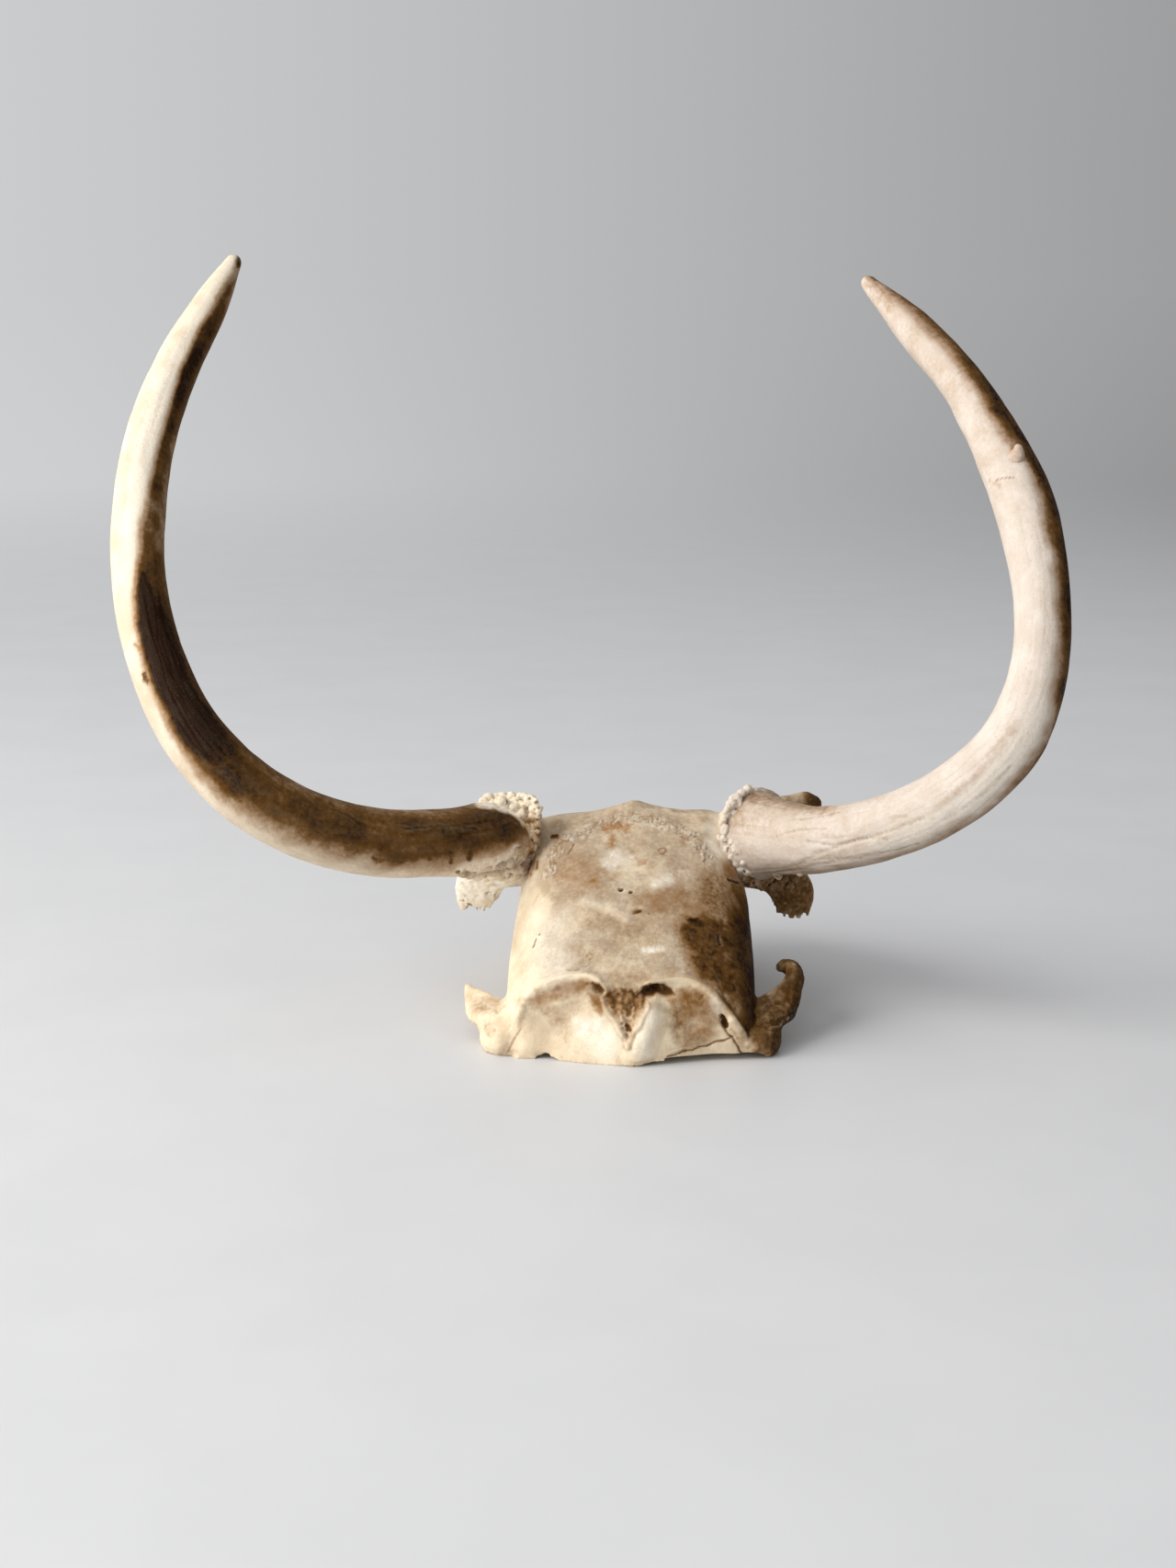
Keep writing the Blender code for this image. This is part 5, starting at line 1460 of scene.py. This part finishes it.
def left_tone(skin, across, edge, soft):
    """Painted reflection on the inner rim of the left beam, painted light on its lit outer side, its dark
    patch and bare foot.
    """
    # Painted reflection: the umber thins along the inner rim.
    skin.paint["umber"] *= 1.0 - 0.3 * smoothstep(0.62, 0.95, across)
    # Painted light: chalk on the lit outer side, up to the brown edge.
    lit = smoothstep(-0.75, -0.2, across)
    lit = lit * ease_out(edge - 1.6 * soft - 0.1, edge - 0.4 * soft, across)
    stain_all(skin, "chalk", 0.6 * (lit * smoothstep(150, 190, skin.s)))
    index, weight = region(skin, PATCH, 4.0, 4.0, 97)
    tint(skin, "umber", index, 1.45 * weight)
    tint(skin, "amber", index, weight)
    for share, *outline in BARE:
        index, weight = region(skin, outline, 2.5, 2.5, 99)
        skin.channel("umber")[index] *= 1.0 - weight
        tint(skin, "chalk", index, share * weight)
        tint(skin, "amber", index, 0.42 * weight)
        pits = smoothstep(0.25, 0.6, fractal(skin.v[index], 1.3, 2, 101))
        tint(skin, "tan", index, 0.8 * weight * pits)
        skin.lift[index] += weight * (0.35 * fractal(skin.v[index], 2.0, 3, 100) - 0.2 * pits)


# Pearls of the burrs: photo pixel and radius in mm.
PEARLS = {
    "left": (
        (536, 873, 1), (541, 869, 1.2), (547, 866, 1.3), (552, 874, 1.2), (557, 865, 1.4), (561, 873, 1.3),
        (565, 866, 1.4), (571, 866, 1.4), (569, 876, 1.3), (577, 871, 1.5), (583, 873, 1.2),
        (582, 881, 1.5), (587, 881, 1.1), (567, 884, 1.1), (572, 893, 1.2), (581, 890, 1.5),
        (587, 889, 1.1), (586, 897, 1), (580, 899, 1.2), (585, 905, 0.9), (584, 914, 0.9), (581, 922, 1.1),
        (577, 929, 1.1), (572, 936, 1.2), (566, 942, 1.2), (560, 948, 1.3), (552, 951, 1.3),
        (544, 956, 1.2), (536, 953, 1.2), (529, 956, 1.1), (522, 952, 1), (566, 933, 2.4), (571, 927, 2.2),
        (575, 920, 1.9), (562, 940, 2.2), (569, 941, 2), (564, 925, 1.8), (556, 941, 1.9), (498, 948, 1.5),
        (505, 950, 1.8), (512, 951, 1.9), (519, 953, 1.7), (527, 950, 2), (534, 949, 1.8), (542, 948, 1.9),
        (549, 946, 1.7), (531, 944, 1.4), (543, 941, 1.5), (553, 938, 1.5), (526, 873, 1.5),
        (532, 871, 1.6), (545, 875, 1.8), (558, 880, 1.8), (566, 889, 1.6), (574, 899, 1.5),
        (578, 907, 1.5),
    ),
    "right": (
        (788, 893, 1.3), (791, 884, 1.5), (796, 876, 1.5), (801, 869, 1.4), (807, 864, 1.4),
        (814, 860, 1.3), (822, 862, 1.2), (805, 877, 1.2), (799, 885, 1.3), (789, 903, 1.3),
        (788, 913, 1.3), (796, 917, 1.2), (801, 925, 1.2), (797, 933, 1.2), (801, 940, 1.2),
        (809, 939, 1.2), (806, 946, 1.3), (814, 948, 1.3), (812, 956, 1.3), (820, 956, 1.3),
        (818, 962, 1.3), (825, 962, 1.4), (832, 960, 1.3), (829, 967, 1.2), (838, 956, 1.3),
        (840, 965, 1.3), (847, 962, 1.4), (853, 956, 1.3), (859, 964, 1.4), (866, 957, 1.3),
        (846, 952, 1.1), (871, 951, 1.1),
    ),
}


# Core of a burr: place along it in halves, share of the radius. Rows of pearls: depth along the
# antler, inset from the rim, count, radius. The shaded foot of the right burr is by photo pixels.
BURR_RINGS = ((-1.0, 0.8), (-0.72, 0.9), (0.0, 0.97), (0.6, 0.95), (1.0, 0.82))
PEARL_SEED = {"left": 7, "right": 8}
PEARL_ROWS = {
    "left": (
        (-3.2, 2.2, 34, 1.05), (-1.6, 1.6, 36, 1.15), (0.2, 1.4, 36, 1.25), (1.8, 1.6, 34, 1.15),
        (3.0, 2.4, 30, 0.8)),
    "right": (
        (-3.2, 2.3, 31, 1.2), (-1.6, 1.3, 30, 1.5), (0.2, 1.1, 28, 1.7), (1.8, 1.4, 28, 1.5),
        (3.1, 2.2, 28, 1.0)),
}
BURR_SHADE = ((828, 947), (884, 944), (884, 976), (824, 974))


def pearl_spot(side, pixel):
    """Where a pearl sits: on the beam, or on the front of the burr beside it."""
    centre, heading = burr_axis(side)
    ray = pixel_ray(pixel)
    front = CAMERA + ray * (((centre + heading * 2.2 - CAMERA) @ heading) / (ray @ heading))
    hit, _ = antlers[side].cast(pixel)
    if hit is None or (np.array(hit) - front) @ ray > 0.0:
        return front, ray
    return np.array(hit), ray


def burr_skin(side):
    """Pearled ring at the foot of the antler."""
    centre, heading = burr_axis(side)
    across = np.cross(heading, (0.0, 0.0, 1.0))
    across /= np.linalg.norm(across)
    other = np.cross(across, heading)
    other *= math.copysign(1.0, other[2])
    rng = np.random.default_rng(PEARL_SEED[side])

    def outline(turn):
        return BURR_RADIUS[side] + BURR_DROOP[side] * np.maximum(-np.sin(turn), 0.0) ** 2

    angle = np.linspace(0.0, 2.0 * math.pi, BURR_SIDES, endpoint=False)
    rings = []
    for along, share in BURR_RINGS:
        reach = (outline(angle) + 0.4 * np.sin(9 * angle)) * share
        ring = centre + heading * (along * BURR_HALF)
        rings.append(ring + np.outer(np.cos(angle) * reach, across) + np.outer(np.sin(angle) * reach, other))
    solids = [loft("ring", rings)]
    for depth, inset, count, size in PEARL_ROWS[side]:
        for i in range(count):
            turn = 2.0 * math.pi * (i + 0.8 * rng.random()) / count
            lump = size * (0.6 + 0.65 * rng.random())
            reach = outline(turn) - inset + 0.45 * rng.standard_normal()
            place = centre + heading * (depth + 0.7 * rng.standard_normal())
            place = place + across * math.cos(turn) * reach + other * math.sin(turn) * reach
            solids.append(ball("pearl", place, (lump, lump * (0.8 + 0.5 * rng.random()), lump)))
    for x, y, lump in PEARLS[side]:
        place, ray = pearl_spot(side, (x, y))
        lump *= 0.85 + 0.5 * rng.random()
        solids.append(ball("pearl", place + ray * (0.6 * lump), lump * (0.75 + 0.55 * rng.random(3))))
    skin = Skin(fused(join_all("burr", solids), BURR_VOXEL))
    skin.relax(7)
    skin.refresh()
    skin.lift = 0.5 * fractal(skin.v, 1.8, 3, 21) + 0.3 * fractal(skin.v, 0.9, 2, 22) + 0.25
    burr_tone(skin, side)
    return skin


def burr_tone(skin, side):
    """Pale pearls, brown between them, and painted shade in brown on the lower, shaded side of the right
    burr.
    """
    drift = fractal(skin.v, 2.5, 3, 23)
    z = skin.v[:, 2]
    if side == "left":
        top = smoothstep(67, 70, z)
        low = smoothstep(52, 48, z)
        middle = (1.0 - top) * (1.0 - low)
        pale = 0.5 * np.clip(top + low, 0.0, 1.0) * np.clip(0.8 + 0.7 * drift, 0.0, 1.0)
        brown = 0.46 * middle * np.clip(0.9 + 0.9 * drift, 0.1, 1.3)
    else:
        # Painted shade: the lower part of the right burr is browner.
        shade = smoothstep(50.5, 47, z)
        middle = 0.35 + 0.65 * shade
        pale = 0.4 * (1.0 - shade) * np.clip(0.7 + 0.9 * drift, 0.0, 1.0)
        brown = 0.62 * shade * np.clip(0.85 + 0.8 * drift, 0.1, 1.2)
    skin.channel("chalk")[:] = pale
    skin.channel("umber")[:] = brown
    skin.channel("tan")[:] = np.clip(middle * (0.75 + 0.6 * drift), 0.0, 1.0)
    if side == "right":
        # Painted shade on the shaded foot of the right burr.
        index, weight = region(skin, BURR_SHADE, 4.0, 3.0, 102)
        tint(skin, "umber", index, 0.58 * weight)
        tint(skin, "tan", index, weight)


# Short tines: x, y, z, radius.
BROW_TINES = {
    "left": (
        (-49, 64, 62.5, 4), (-51, 68.5, 65.4, 3.3), (-53.5, 72.5, 66.8, 2.4), (-55, 75, 67, 1.6),
    ),
    "right": (
        (44, 63.5, 66, 6.2), (48, 67, 68.6, 5), (52, 71, 69.2, 4.2), (56, 74.6, 69.6, 3.8),
        (59.2, 77, 69.7, 4), (61.4, 78.4, 69, 3.6),
    ),
}
TINE_STUB = (
    (121.5, 57, 184, 2.4), (123.6, 54.4, 187.6, 3), (125, 52.2, 191.4, 2.6), (125.2, 51.4, 193.8, 1.5),
)


def tine_skin(rows, seed):
    """Short tine: a lumpy tube with a rounded end."""
    fine = spline_path(rows, TINE_STEP)
    solids = [loft("tine", tube_rings(fine, TINE_SIDES)), ball("end", fine[-1, :3], (fine[-1, 3],) * 3)]
    skin = Skin(fused(join_all("tine", solids), BURR_VOXEL))
    skin.relax(8)
    skin.refresh()
    skin.lift = 0.35 * fractal(skin.v, 2.6, 3, seed) + 0.1
    return skin


antlers = {side: antler_skin(side) for side in BEAMS}
burrs = {side: burr_skin(side) for side in BEAMS}
tines = {
    "brow_tine_left": tine_skin(BROW_TINES["left"], 81),
    "brow_tine_right": tine_skin(BROW_TINES["right"], 82),
    "tine_stub_right": tine_skin(TINE_STUB, 83),
}

# Stains of the beams: channel, reach in mm, amount, photo pixels.
BEAM_STAINS = {
    "left": (
        ("amber", 1.6, 0.9, (147, 668), (150, 675)),
        ("amber", 1.6, 0.9, (148, 702), (158, 711)),
        ("umber", 1.6, 0.8, (157, 734), (160, 741)),
        ("umber", 2.4, 0.8, (224, 832), (236, 846)),
        ("tan", 2.4, 0.9, (236, 846), (250, 866)),
        ("umber", 2.6, 0.9, (261, 281), (259, 288)),
        # Brown stain with painted shade on the shaded near side of the beam's foot.
        ("umber", 6, 0.95, (486, 903), (505, 902), (528, 894), (548, 895)),
        ("umber", 2.2, 0.9, (392, 888), (402, 889)),
        ("umber", 1.8, 0.95, (490, 924), (491, 938)),
        ("umber", 1.6, 0.95, (513, 922), (511, 936)),
        ("umber", 2.4, 0.85, (458, 932), (468, 934)),
        ("umber", 1.6, 0.7, (471, 915.7), (478, 914)),
        ("umber", 1.5, 1, (359, 874), (365, 877)),
        ("umber", 1.2, 0.8, (378, 893)),
        ("umber", 1.8, 0.8, (406, 935), (416, 937)),
        ("umber", 3.4, 0.85, (440, 914), (462, 916)),
        ("chalk", 6, 0.7, (516, 950), (545, 947), (562, 938)),
        ("amber", 5, 0.5, (520, 930), (545, 926), (560, 920)),
        ("umber", 0.8, 0.9, (561, 931.5)),
        ("umber", 0.8, 0.8, (553, 944)),
    ),
    "right": (
        # Brown stain with painted shade on the right beam's outer edge.
        ("umber", 2.4, 1, (1122, 500), (1130, 508), (1134, 522)),
        ("tan", 4, 0.9, (945, 308), (955, 318), (970, 332)),
        ("umber", 1, 0.5, (950, 305), (962, 318)),
        ("tan", 2, 0.7, (1040, 395), (1055, 425)),
        # Painted shadow beside the tine stub.
        ("amber", 1.2, 0.9, (1101, 486), (1104, 500)),
        ("umber", 0.4, 0.3, (1084, 523), (1094, 520), (1104, 520)),
        ("tan", 1.4, 0.6, (1078, 523), (1090, 530)),
        ("umber", 3.4, 0.42, (816, 868), (840, 868), (866, 872), (895, 878)),
        ("tan", 4, 0.8, (812, 872), (840, 874), (875, 880), (905, 882)),
        ("tan", 2, 0.7, (805, 880), (815, 872), (830, 872)),
        ("tan", 2.6, 0.55, (1105, 790), (1060, 848), (1010, 888), (960, 913)),
        ("tan", 2.2, 0.5, (860, 942), (900, 932), (940, 922)),
        ("tan", 1.6, 0.45, (880, 905), (910, 912), (940, 905)),
        ("tan", 1.2, 0.6, (970, 890), (985, 888)),
    ),
}
# Cuts of the beams and the burrs: reach and depth in mm (a negative depth is raised), stain, its
# amount, photo pixels.
BEAM_CUTS = {
    "left": (
        (0.7, 0.2, "umber", 0.4, (440, 902), (480, 899), (520, 903)),
    ),
    "right": (
        (1.3, 0.26, "tan", 0.28, (846, 949), (880, 943), (913, 937), (960, 929), (1000, 919)),
        (1.2, 0.24, "tan", 0.28, (867, 943), (888.6, 929.5), (928.4, 915.7), (974.3, 903.5), (1005, 890)),
        (1.1, 0.2, "tan", 0.2, (880, 915), (910, 921), (935, 913), (965, 913)),
        (1.1, 0.2, "tan", 0.3, (860, 893), (885, 890), (915, 884)),
        (1.2, 0.18, "tan", 0.2, (1030, 893), (1070, 865), (1100, 835)),
        (0.9, 0.18, "tan", 0.2, (845, 910), (870, 903), (900, 902)),
        (0.4, 0.15, "tan", 0.5, (1084, 523), (1094, 520), (1104, 520)),
    ),
}
BURR_CUTS = {
    "left": (
        (1.2, 2, "umber", 1, (575.4, 885.4)),
        (0.8, 0.9, "umber", 1, (576.6, 869)),
        (1.3, 1.6, "umber", 0.9, (552, 872), (552, 878)),
        (0.6, -0.3, "umber", 1, (583, 873)),
        (0.6, -0.3, "umber", 1, (586, 879)),
        (0.6, -0.3, "umber", 1, (587, 888)),
        (0.9, 0.8, "umber", 0.9, (561, 931.5)),
        (0.9, 0.8, "umber", 0.9, (553.6, 945)),
        (0.8, 0.7, "umber", 0.8, (564.5, 960.6)),
        (1.4, 0.8, "amber", 0.9, (583, 917), (576, 930), (569, 941)),
        (1.2, 0.8, "tan", 0.9, (530, 955), (545, 957), (556, 952)),
    ),
    "right": (
        (1, 1.8, "umber", 1.1, (793.5, 925)),
        (1, 1.8, "umber", 1.1, (803.6, 932.6)),
        (0.8, 0.7, "umber", 0.6, (809, 868), (808, 878), (804, 888)),
        (0.8, 1, "umber", 0.9, (810.5, 949)),
        (0.8, 1, "umber", 0.9, (821, 961)),
        (0.8, 1, "umber", 0.9, (829, 957)),
        (0.8, 1, "umber", 0.9, (836, 952.5)),
        (1.1, 0.9, "tan", 1, (806, 880.5), (809, 871), (818, 866)),
        (1.4, 1.2, "umber", 0.9, (844, 955.5)),
        (1.2, 1, "umber", 0.8, (856, 962)),
    ),
}
# Stains that end in these photo columns reach the burr beside the beam.
BURR_COLUMNS = ((530, 575), (890, 905))

for side in BEAMS:
    for skin, cuts in ((antlers[side], BEAM_CUTS[side]), (burrs[side], BURR_CUTS[side])):
        for cut in cuts:
            carve(skin, cut, 0.4)
    for name, reach, amount, *pixels in BEAM_STAINS[side]:
        mark(antlers[side], name, pixels, reach, amount)
        if any(low < pixels[-1][0] < high for low, high in BURR_COLUMNS):
            mark(burrs[side], name, pixels, reach, amount * 0.8)
    beam_tone(antlers[side], side)
knob = tines["brow_tine_right"]
knob.channel("tan")[:] = 0.55
# Brown knob, darker towards its right side as painted shade.
knob.channel("umber")[:] = 0.22 + 0.6 * smoothstep(56.5, 61.5, knob.v[:, 0])
tines["tine_stub_right"].channel("amber")[:] = 0.45
for skin in (*antlers.values(), *burrs.values(), *tines.values()):
    settle(skin, 2, 6.0)


# ---------------------------------------------------------------- materials

def nodes_of(name):
    """New material with its default node tree and its shader."""
    mat = bpy.data.materials.new(name)
    mat.use_nodes = True
    tree = mat.node_tree
    shader = tree.nodes["Principled BSDF"]
    return mat, tree, shader


class Graph:
    """Short calls for building a material's nodes."""

    def __init__(self, tree):
        self.tree = tree
        self.place = self.node("ShaderNodeTexCoord").outputs["Object"]

    def node(self, kind, **values):
        """New node with its inputs set by name, a _ standing for a space."""
        made = self.tree.nodes.new(kind)
        for name, value in values.items():
            made.inputs[name.replace("_", " ")].default_value = value
        return made

    def link(self, a, b):
        self.tree.links.new(a, b)

    def attribute(self, name):
        node = self.node("ShaderNodeAttribute")
        node.attribute_name = name
        return node.outputs["Fac"]

    def noise(self, size_mm, detail=3.0, rough=0.55, distortion=0.0):
        node = self.node("ShaderNodeTexNoise", Scale=1.0 / (size_mm * MM), Detail=detail,
                         Roughness=rough, Distortion=distortion)
        self.link(self.place, node.inputs["Vector"])
        return node.outputs["Fac"]

    def span(self, value, low, high, to_low=0.0, to_high=1.0):
        node = self.node("ShaderNodeMapRange", From_Min=low, From_Max=high, To_Min=to_low, To_Max=to_high)
        node.interpolation_type = "SMOOTHSTEP"
        self.link(value, node.inputs["Value"])
        return node.outputs["Result"]

    def math(self, kind, a, b=0.0, clamp=False):
        node = self.node("ShaderNodeMath")
        node.operation = kind
        node.use_clamp = clamp
        for socket, value in zip(node.inputs, (a, b)):
            if isinstance(value, (int, float)):
                socket.default_value = value
            else:
                self.link(value, socket)
        return node.outputs["Value"]

    def times(self, a, b, clamp=False):
        return self.math("MULTIPLY", a, b, clamp)

    def mix(self, factor, a, b):
        node = self.node("ShaderNodeMix")
        node.data_type = "RGBA"
        sockets = [s for s in node.inputs if s.enabled]
        for socket, value in zip(sockets, (factor, a, b)):
            if isinstance(value, (int, float)):
                socket.default_value = value
            elif isinstance(value, tuple):
                socket.default_value = (*value, 1.0)
            else:
                self.link(value, socket)
        return [s for s in node.outputs if s.enabled][0]

    def bump(self, height, distance_mm, strength, before=None):
        node = self.node("ShaderNodeBump", Strength=strength, Distance=distance_mm * MM)
        self.link(height, node.inputs["Height"])
        if before is not None:
            self.link(before, node.inputs["Normal"])
        return node.outputs["Normal"]


# Colours, linear: stains, painted crevice shade and edge highlight, and the three coats (pale, middle,
# grey).
TAN = (0.34, 0.21, 0.11)
AMBER = (0.30, 0.125, 0.025)
UMBER_THIN = (0.20, 0.090, 0.018)
UMBER_DEEP = (0.014, 0.0035, 0.0006)
CHALK = (0.92, 0.86, 0.74)
CREVICE_SHADE = (0.13, 0.065, 0.025)
EDGE_HIGHLIGHT = (0.80, 0.68, 0.48)
PORE = (0.20, 0.11, 0.05)
BONE_COAT = ((0.84, 0.715, 0.52), (0.70, 0.56, 0.385), (0.42, 0.33, 0.235))
HORN_LEFT_COAT = ((0.80, 0.69, 0.54), (0.66, 0.53, 0.385), (0.30, 0.21, 0.13))
HORN_RIGHT_COAT = ((0.69, 0.615, 0.545), (0.60, 0.515, 0.435), (0.38, 0.29, 0.21))


def bone_material(name, coat, rough):
    """Dry bone: mottled cream, painted stains and pores, painted shade in crevices and highlight on edges.
    """
    mat, tree, shader = nodes_of(name)
    pale, mid, grey = coat
    g = Graph(tree)
    broad = g.noise(11.0, 4.0)
    fine = g.noise(1.6, 4.0, 0.65)
    speck = g.noise(0.55, 2.0, 0.6)
    grain = g.attribute("grain")
    colour = g.mix(g.span(broad, 0.36, 0.68), pale, mid)
    colour = g.mix(g.span(fine, 0.35, 0.7, 0.0, 0.35), colour, mid)
    colour = g.mix(g.span(grain, 0.5, 0.95, 0.0, 0.45), colour, mid)

    def stain(colour, channel, tint, low, high):
        amount = g.times(g.attribute(channel), g.span(fine, 0.25, 0.72, low, high))
        return g.mix(g.times(amount, 1.0, True), colour, tint)

    colour = stain(colour, "grey", grey, 0.6, 1.05)
    colour = stain(colour, "tan", TAN, 0.5, 1.05)
    colour = stain(colour, "amber", AMBER, 0.55, 1.1)
    dark = g.times(g.attribute("umber"), g.span(fine, 0.25, 0.72, 0.88, 1.1))
    colour = g.mix(g.times(dark, 1.5, True), colour, UMBER_THIN)
    colour = g.mix(g.times(g.math("SUBTRACT", dark, 0.42), 1.75, True), colour, UMBER_DEEP)
    colour = stain(colour, "chalk", CHALK, 0.45, 1.15)
    # Painted shade in the crevices.
    colour = g.mix(g.times(g.attribute("crevice_shade"), 0.6), colour, CREVICE_SHADE)
    # Painted highlight on convex edges.
    colour = g.mix(g.times(g.attribute("edge"), 0.25), colour, EDGE_HIGHLIGHT)
    colour = g.mix(g.span(speck, 0.28, 0.40, 0.30, 0.0), colour, PORE)
    g.link(colour, shader.inputs["Base Color"])
    g.link(g.span(fine, 0.2, 0.8, rough - 0.1, rough + 0.12), shader.inputs["Roughness"])
    wrinkle = g.noise(2.6, 3.0, 0.6, 1.2)
    creases = g.math("ABSOLUTE", g.math("SUBTRACT", g.noise(1.0, 2.0, 0.5, 1.5), 0.5))
    winding = g.times(g.span(creases, 0.0, 0.09), g.attribute("rough"))
    height = g.math("ADD", g.times(wrinkle, 0.8), g.times(winding, 0.45))
    height = g.math("ADD", height, g.times(grain, 0.35))
    normal = g.bump(height, 0.45, 0.5)
    normal = g.bump(fine, 0.25, 0.35, normal)
    normal = g.bump(speck, 0.08, 0.35, normal)
    g.link(normal, shader.inputs["Normal"])
    shader.inputs["Specular IOR Level"].default_value = 0.04
    return mat


bone = bone_material("bone_cream", BONE_COAT, 0.62)
horn_left = bone_material("antler_brown", HORN_LEFT_COAT, 0.5)
horn_right = bone_material("antler_pale", HORN_RIGHT_COAT, 0.5)


def dress(obj, material, slot, *nodes):
    """Give a finished piece its material and its place in the frame."""
    obj.data.materials.clear()
    obj.data.materials.append(material)
    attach(obj, "root")
    if nodes:
        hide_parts(*nodes)


BONE_SLOTS = {0: "bone_occiput", 1: "bone_roof"}
face_label = labels[skull.f[:, 0]]
for number, (name, nodes) in BONES.items():
    piece = skull.build(name, np.nonzero(face_label == number)[0])
    dress(piece, bone, BONE_SLOTS.get(number, "bone_cap"), *nodes)
for side, horn, rim in (("left", horn_left, bone), ("right", horn_right, horn_right)):
    dress(antlers[side].build("main_beam_" + side), horn, "antler_" + side, "beam_" + side)
    dress(burrs[side].build("coronet_" + side), rim, "burr_bone", "burr_" + side)
for name, skin in tines.items():
    coat, slot = (horn_right, "antler_right") if "stub" in name else (bone, "burr_bone")
    dress(skin.build(name.replace("tine", "point")), coat, slot, name)


# ---------------------------------------------------------------- stage, light and camera

FLOOR_SIZE = 60.0
FLOOR_TONES = ((0.655, 0.66, 0.67), (0.635, 0.64, 0.65))
# The floor fades into the studio between these distances, in metres.
FLOOR_FADE = (0.6, 2.6)
STUDIO = (0.98, 0.985, 1.0, 1.0)
WINDOW_PLACE = (-1.35, -0.6, 0.9)
WINDOW_AIM = (0.0, 0.05, 0.08)
WINDOW_SIZE = (1.3, 1.1)
WINDOW_POWER = 33.0
WINDOW_TINT = (1.0, 0.985, 0.96)
SENSOR = 36.0


def window_glow(g, direction):
    """Brightness of the studio around: bright towards the window, dim away from it."""
    unit = g.node("ShaderNodeVectorMath")
    unit.operation = "NORMALIZE"
    g.link(direction, unit.inputs[0])
    split = g.node("ShaderNodeSeparateXYZ")
    g.link(unit.outputs["Vector"], split.inputs["Vector"])
    toward = g.math("ADD", g.times(split.outputs["X"], 0.93), g.times(split.outputs["Y"], 0.37))
    tilt = g.math("ADD", g.times(g.math("ABSOLUTE", toward), -1.5), -0.35)
    glow = g.times(g.math("EXPONENT", g.times(toward, tilt)), 0.65)
    return g.math("MINIMUM", glow, 0.82)


def pale_floor():
    """Pale floor that fades into the studio."""
    bpy.ops.mesh.primitive_plane_add(size=FLOOR_SIZE, location=(0.0, 0.0, 0.0))
    floor = bpy.context.object
    floor.name = "floor"
    mat, tree, shader = nodes_of("floor_pale")
    g = Graph(tree)
    distance = g.node("ShaderNodeVectorMath")
    distance.operation = "LENGTH"
    g.link(g.place, distance.inputs[0])
    g.link(g.mix(g.span(g.noise(60.0, 3.0), 0.3, 0.7), *FLOOR_TONES), shader.inputs["Base Color"])
    shader.inputs["Roughness"].default_value = 0.42
    shader.inputs["Specular IOR Level"].default_value = 0.3
    haze = g.node("ShaderNodeEmission", Color=STUDIO)
    g.link(window_glow(g, g.place), haze.inputs["Strength"])
    blend = g.node("ShaderNodeMixShader")
    g.link(g.span(distance.outputs["Value"], *FLOOR_FADE), blend.inputs["Fac"])
    g.link(shader.outputs["BSDF"], blend.inputs[1])
    g.link(haze.outputs["Emission"], blend.inputs[2])
    g.link(blend.outputs["Shader"], tree.nodes["Material Output"].inputs["Surface"])
    floor.data.materials.append(mat)


def soft_light():
    """Studio glow all round and a broad window on the left."""
    world = bpy.data.worlds.new("studio")
    world.use_nodes = True
    back = world.node_tree.nodes["Background"]
    back.inputs["Color"].default_value = STUDIO
    g = Graph(world.node_tree)
    coord = g.node("ShaderNodeTexCoord")
    g.link(window_glow(g, coord.outputs["Generated"]), back.inputs["Strength"])
    bpy.context.scene.world = world
    bpy.context.scene.view_settings.view_transform = "Standard"
    light = bpy.data.lights.new("window", "AREA")
    light.shape = "RECTANGLE"
    light.size, light.size_y = WINDOW_SIZE
    light.energy = WINDOW_POWER
    light.color = WINDOW_TINT
    window = placed("window", light)
    window.location = WINDOW_PLACE
    ahead = Vector(WINDOW_AIM) - Vector(WINDOW_PLACE)
    window.rotation_euler = ahead.to_track_quat("-Z", "Y").to_euler()


def photo_camera():
    """Camera that looks as the photo does."""
    lens = bpy.data.cameras.new("photo_camera")
    lens.sensor_fit = "VERTICAL"
    lens.sensor_height = SENSOR
    lens.lens = SENSOR * FOCAL / PHOTO[1]
    lens.clip_start = 0.01
    eye = placed("photo_camera", lens)
    eye.location = CAMERA * MM
    eye.rotation_euler = (math.radians(90.0 - CAMERA_PITCH), 0.0, math.radians(CAMERA_TURN))
    bpy.context.scene.camera = eye


pale_floor()
soft_light()
photo_camera()
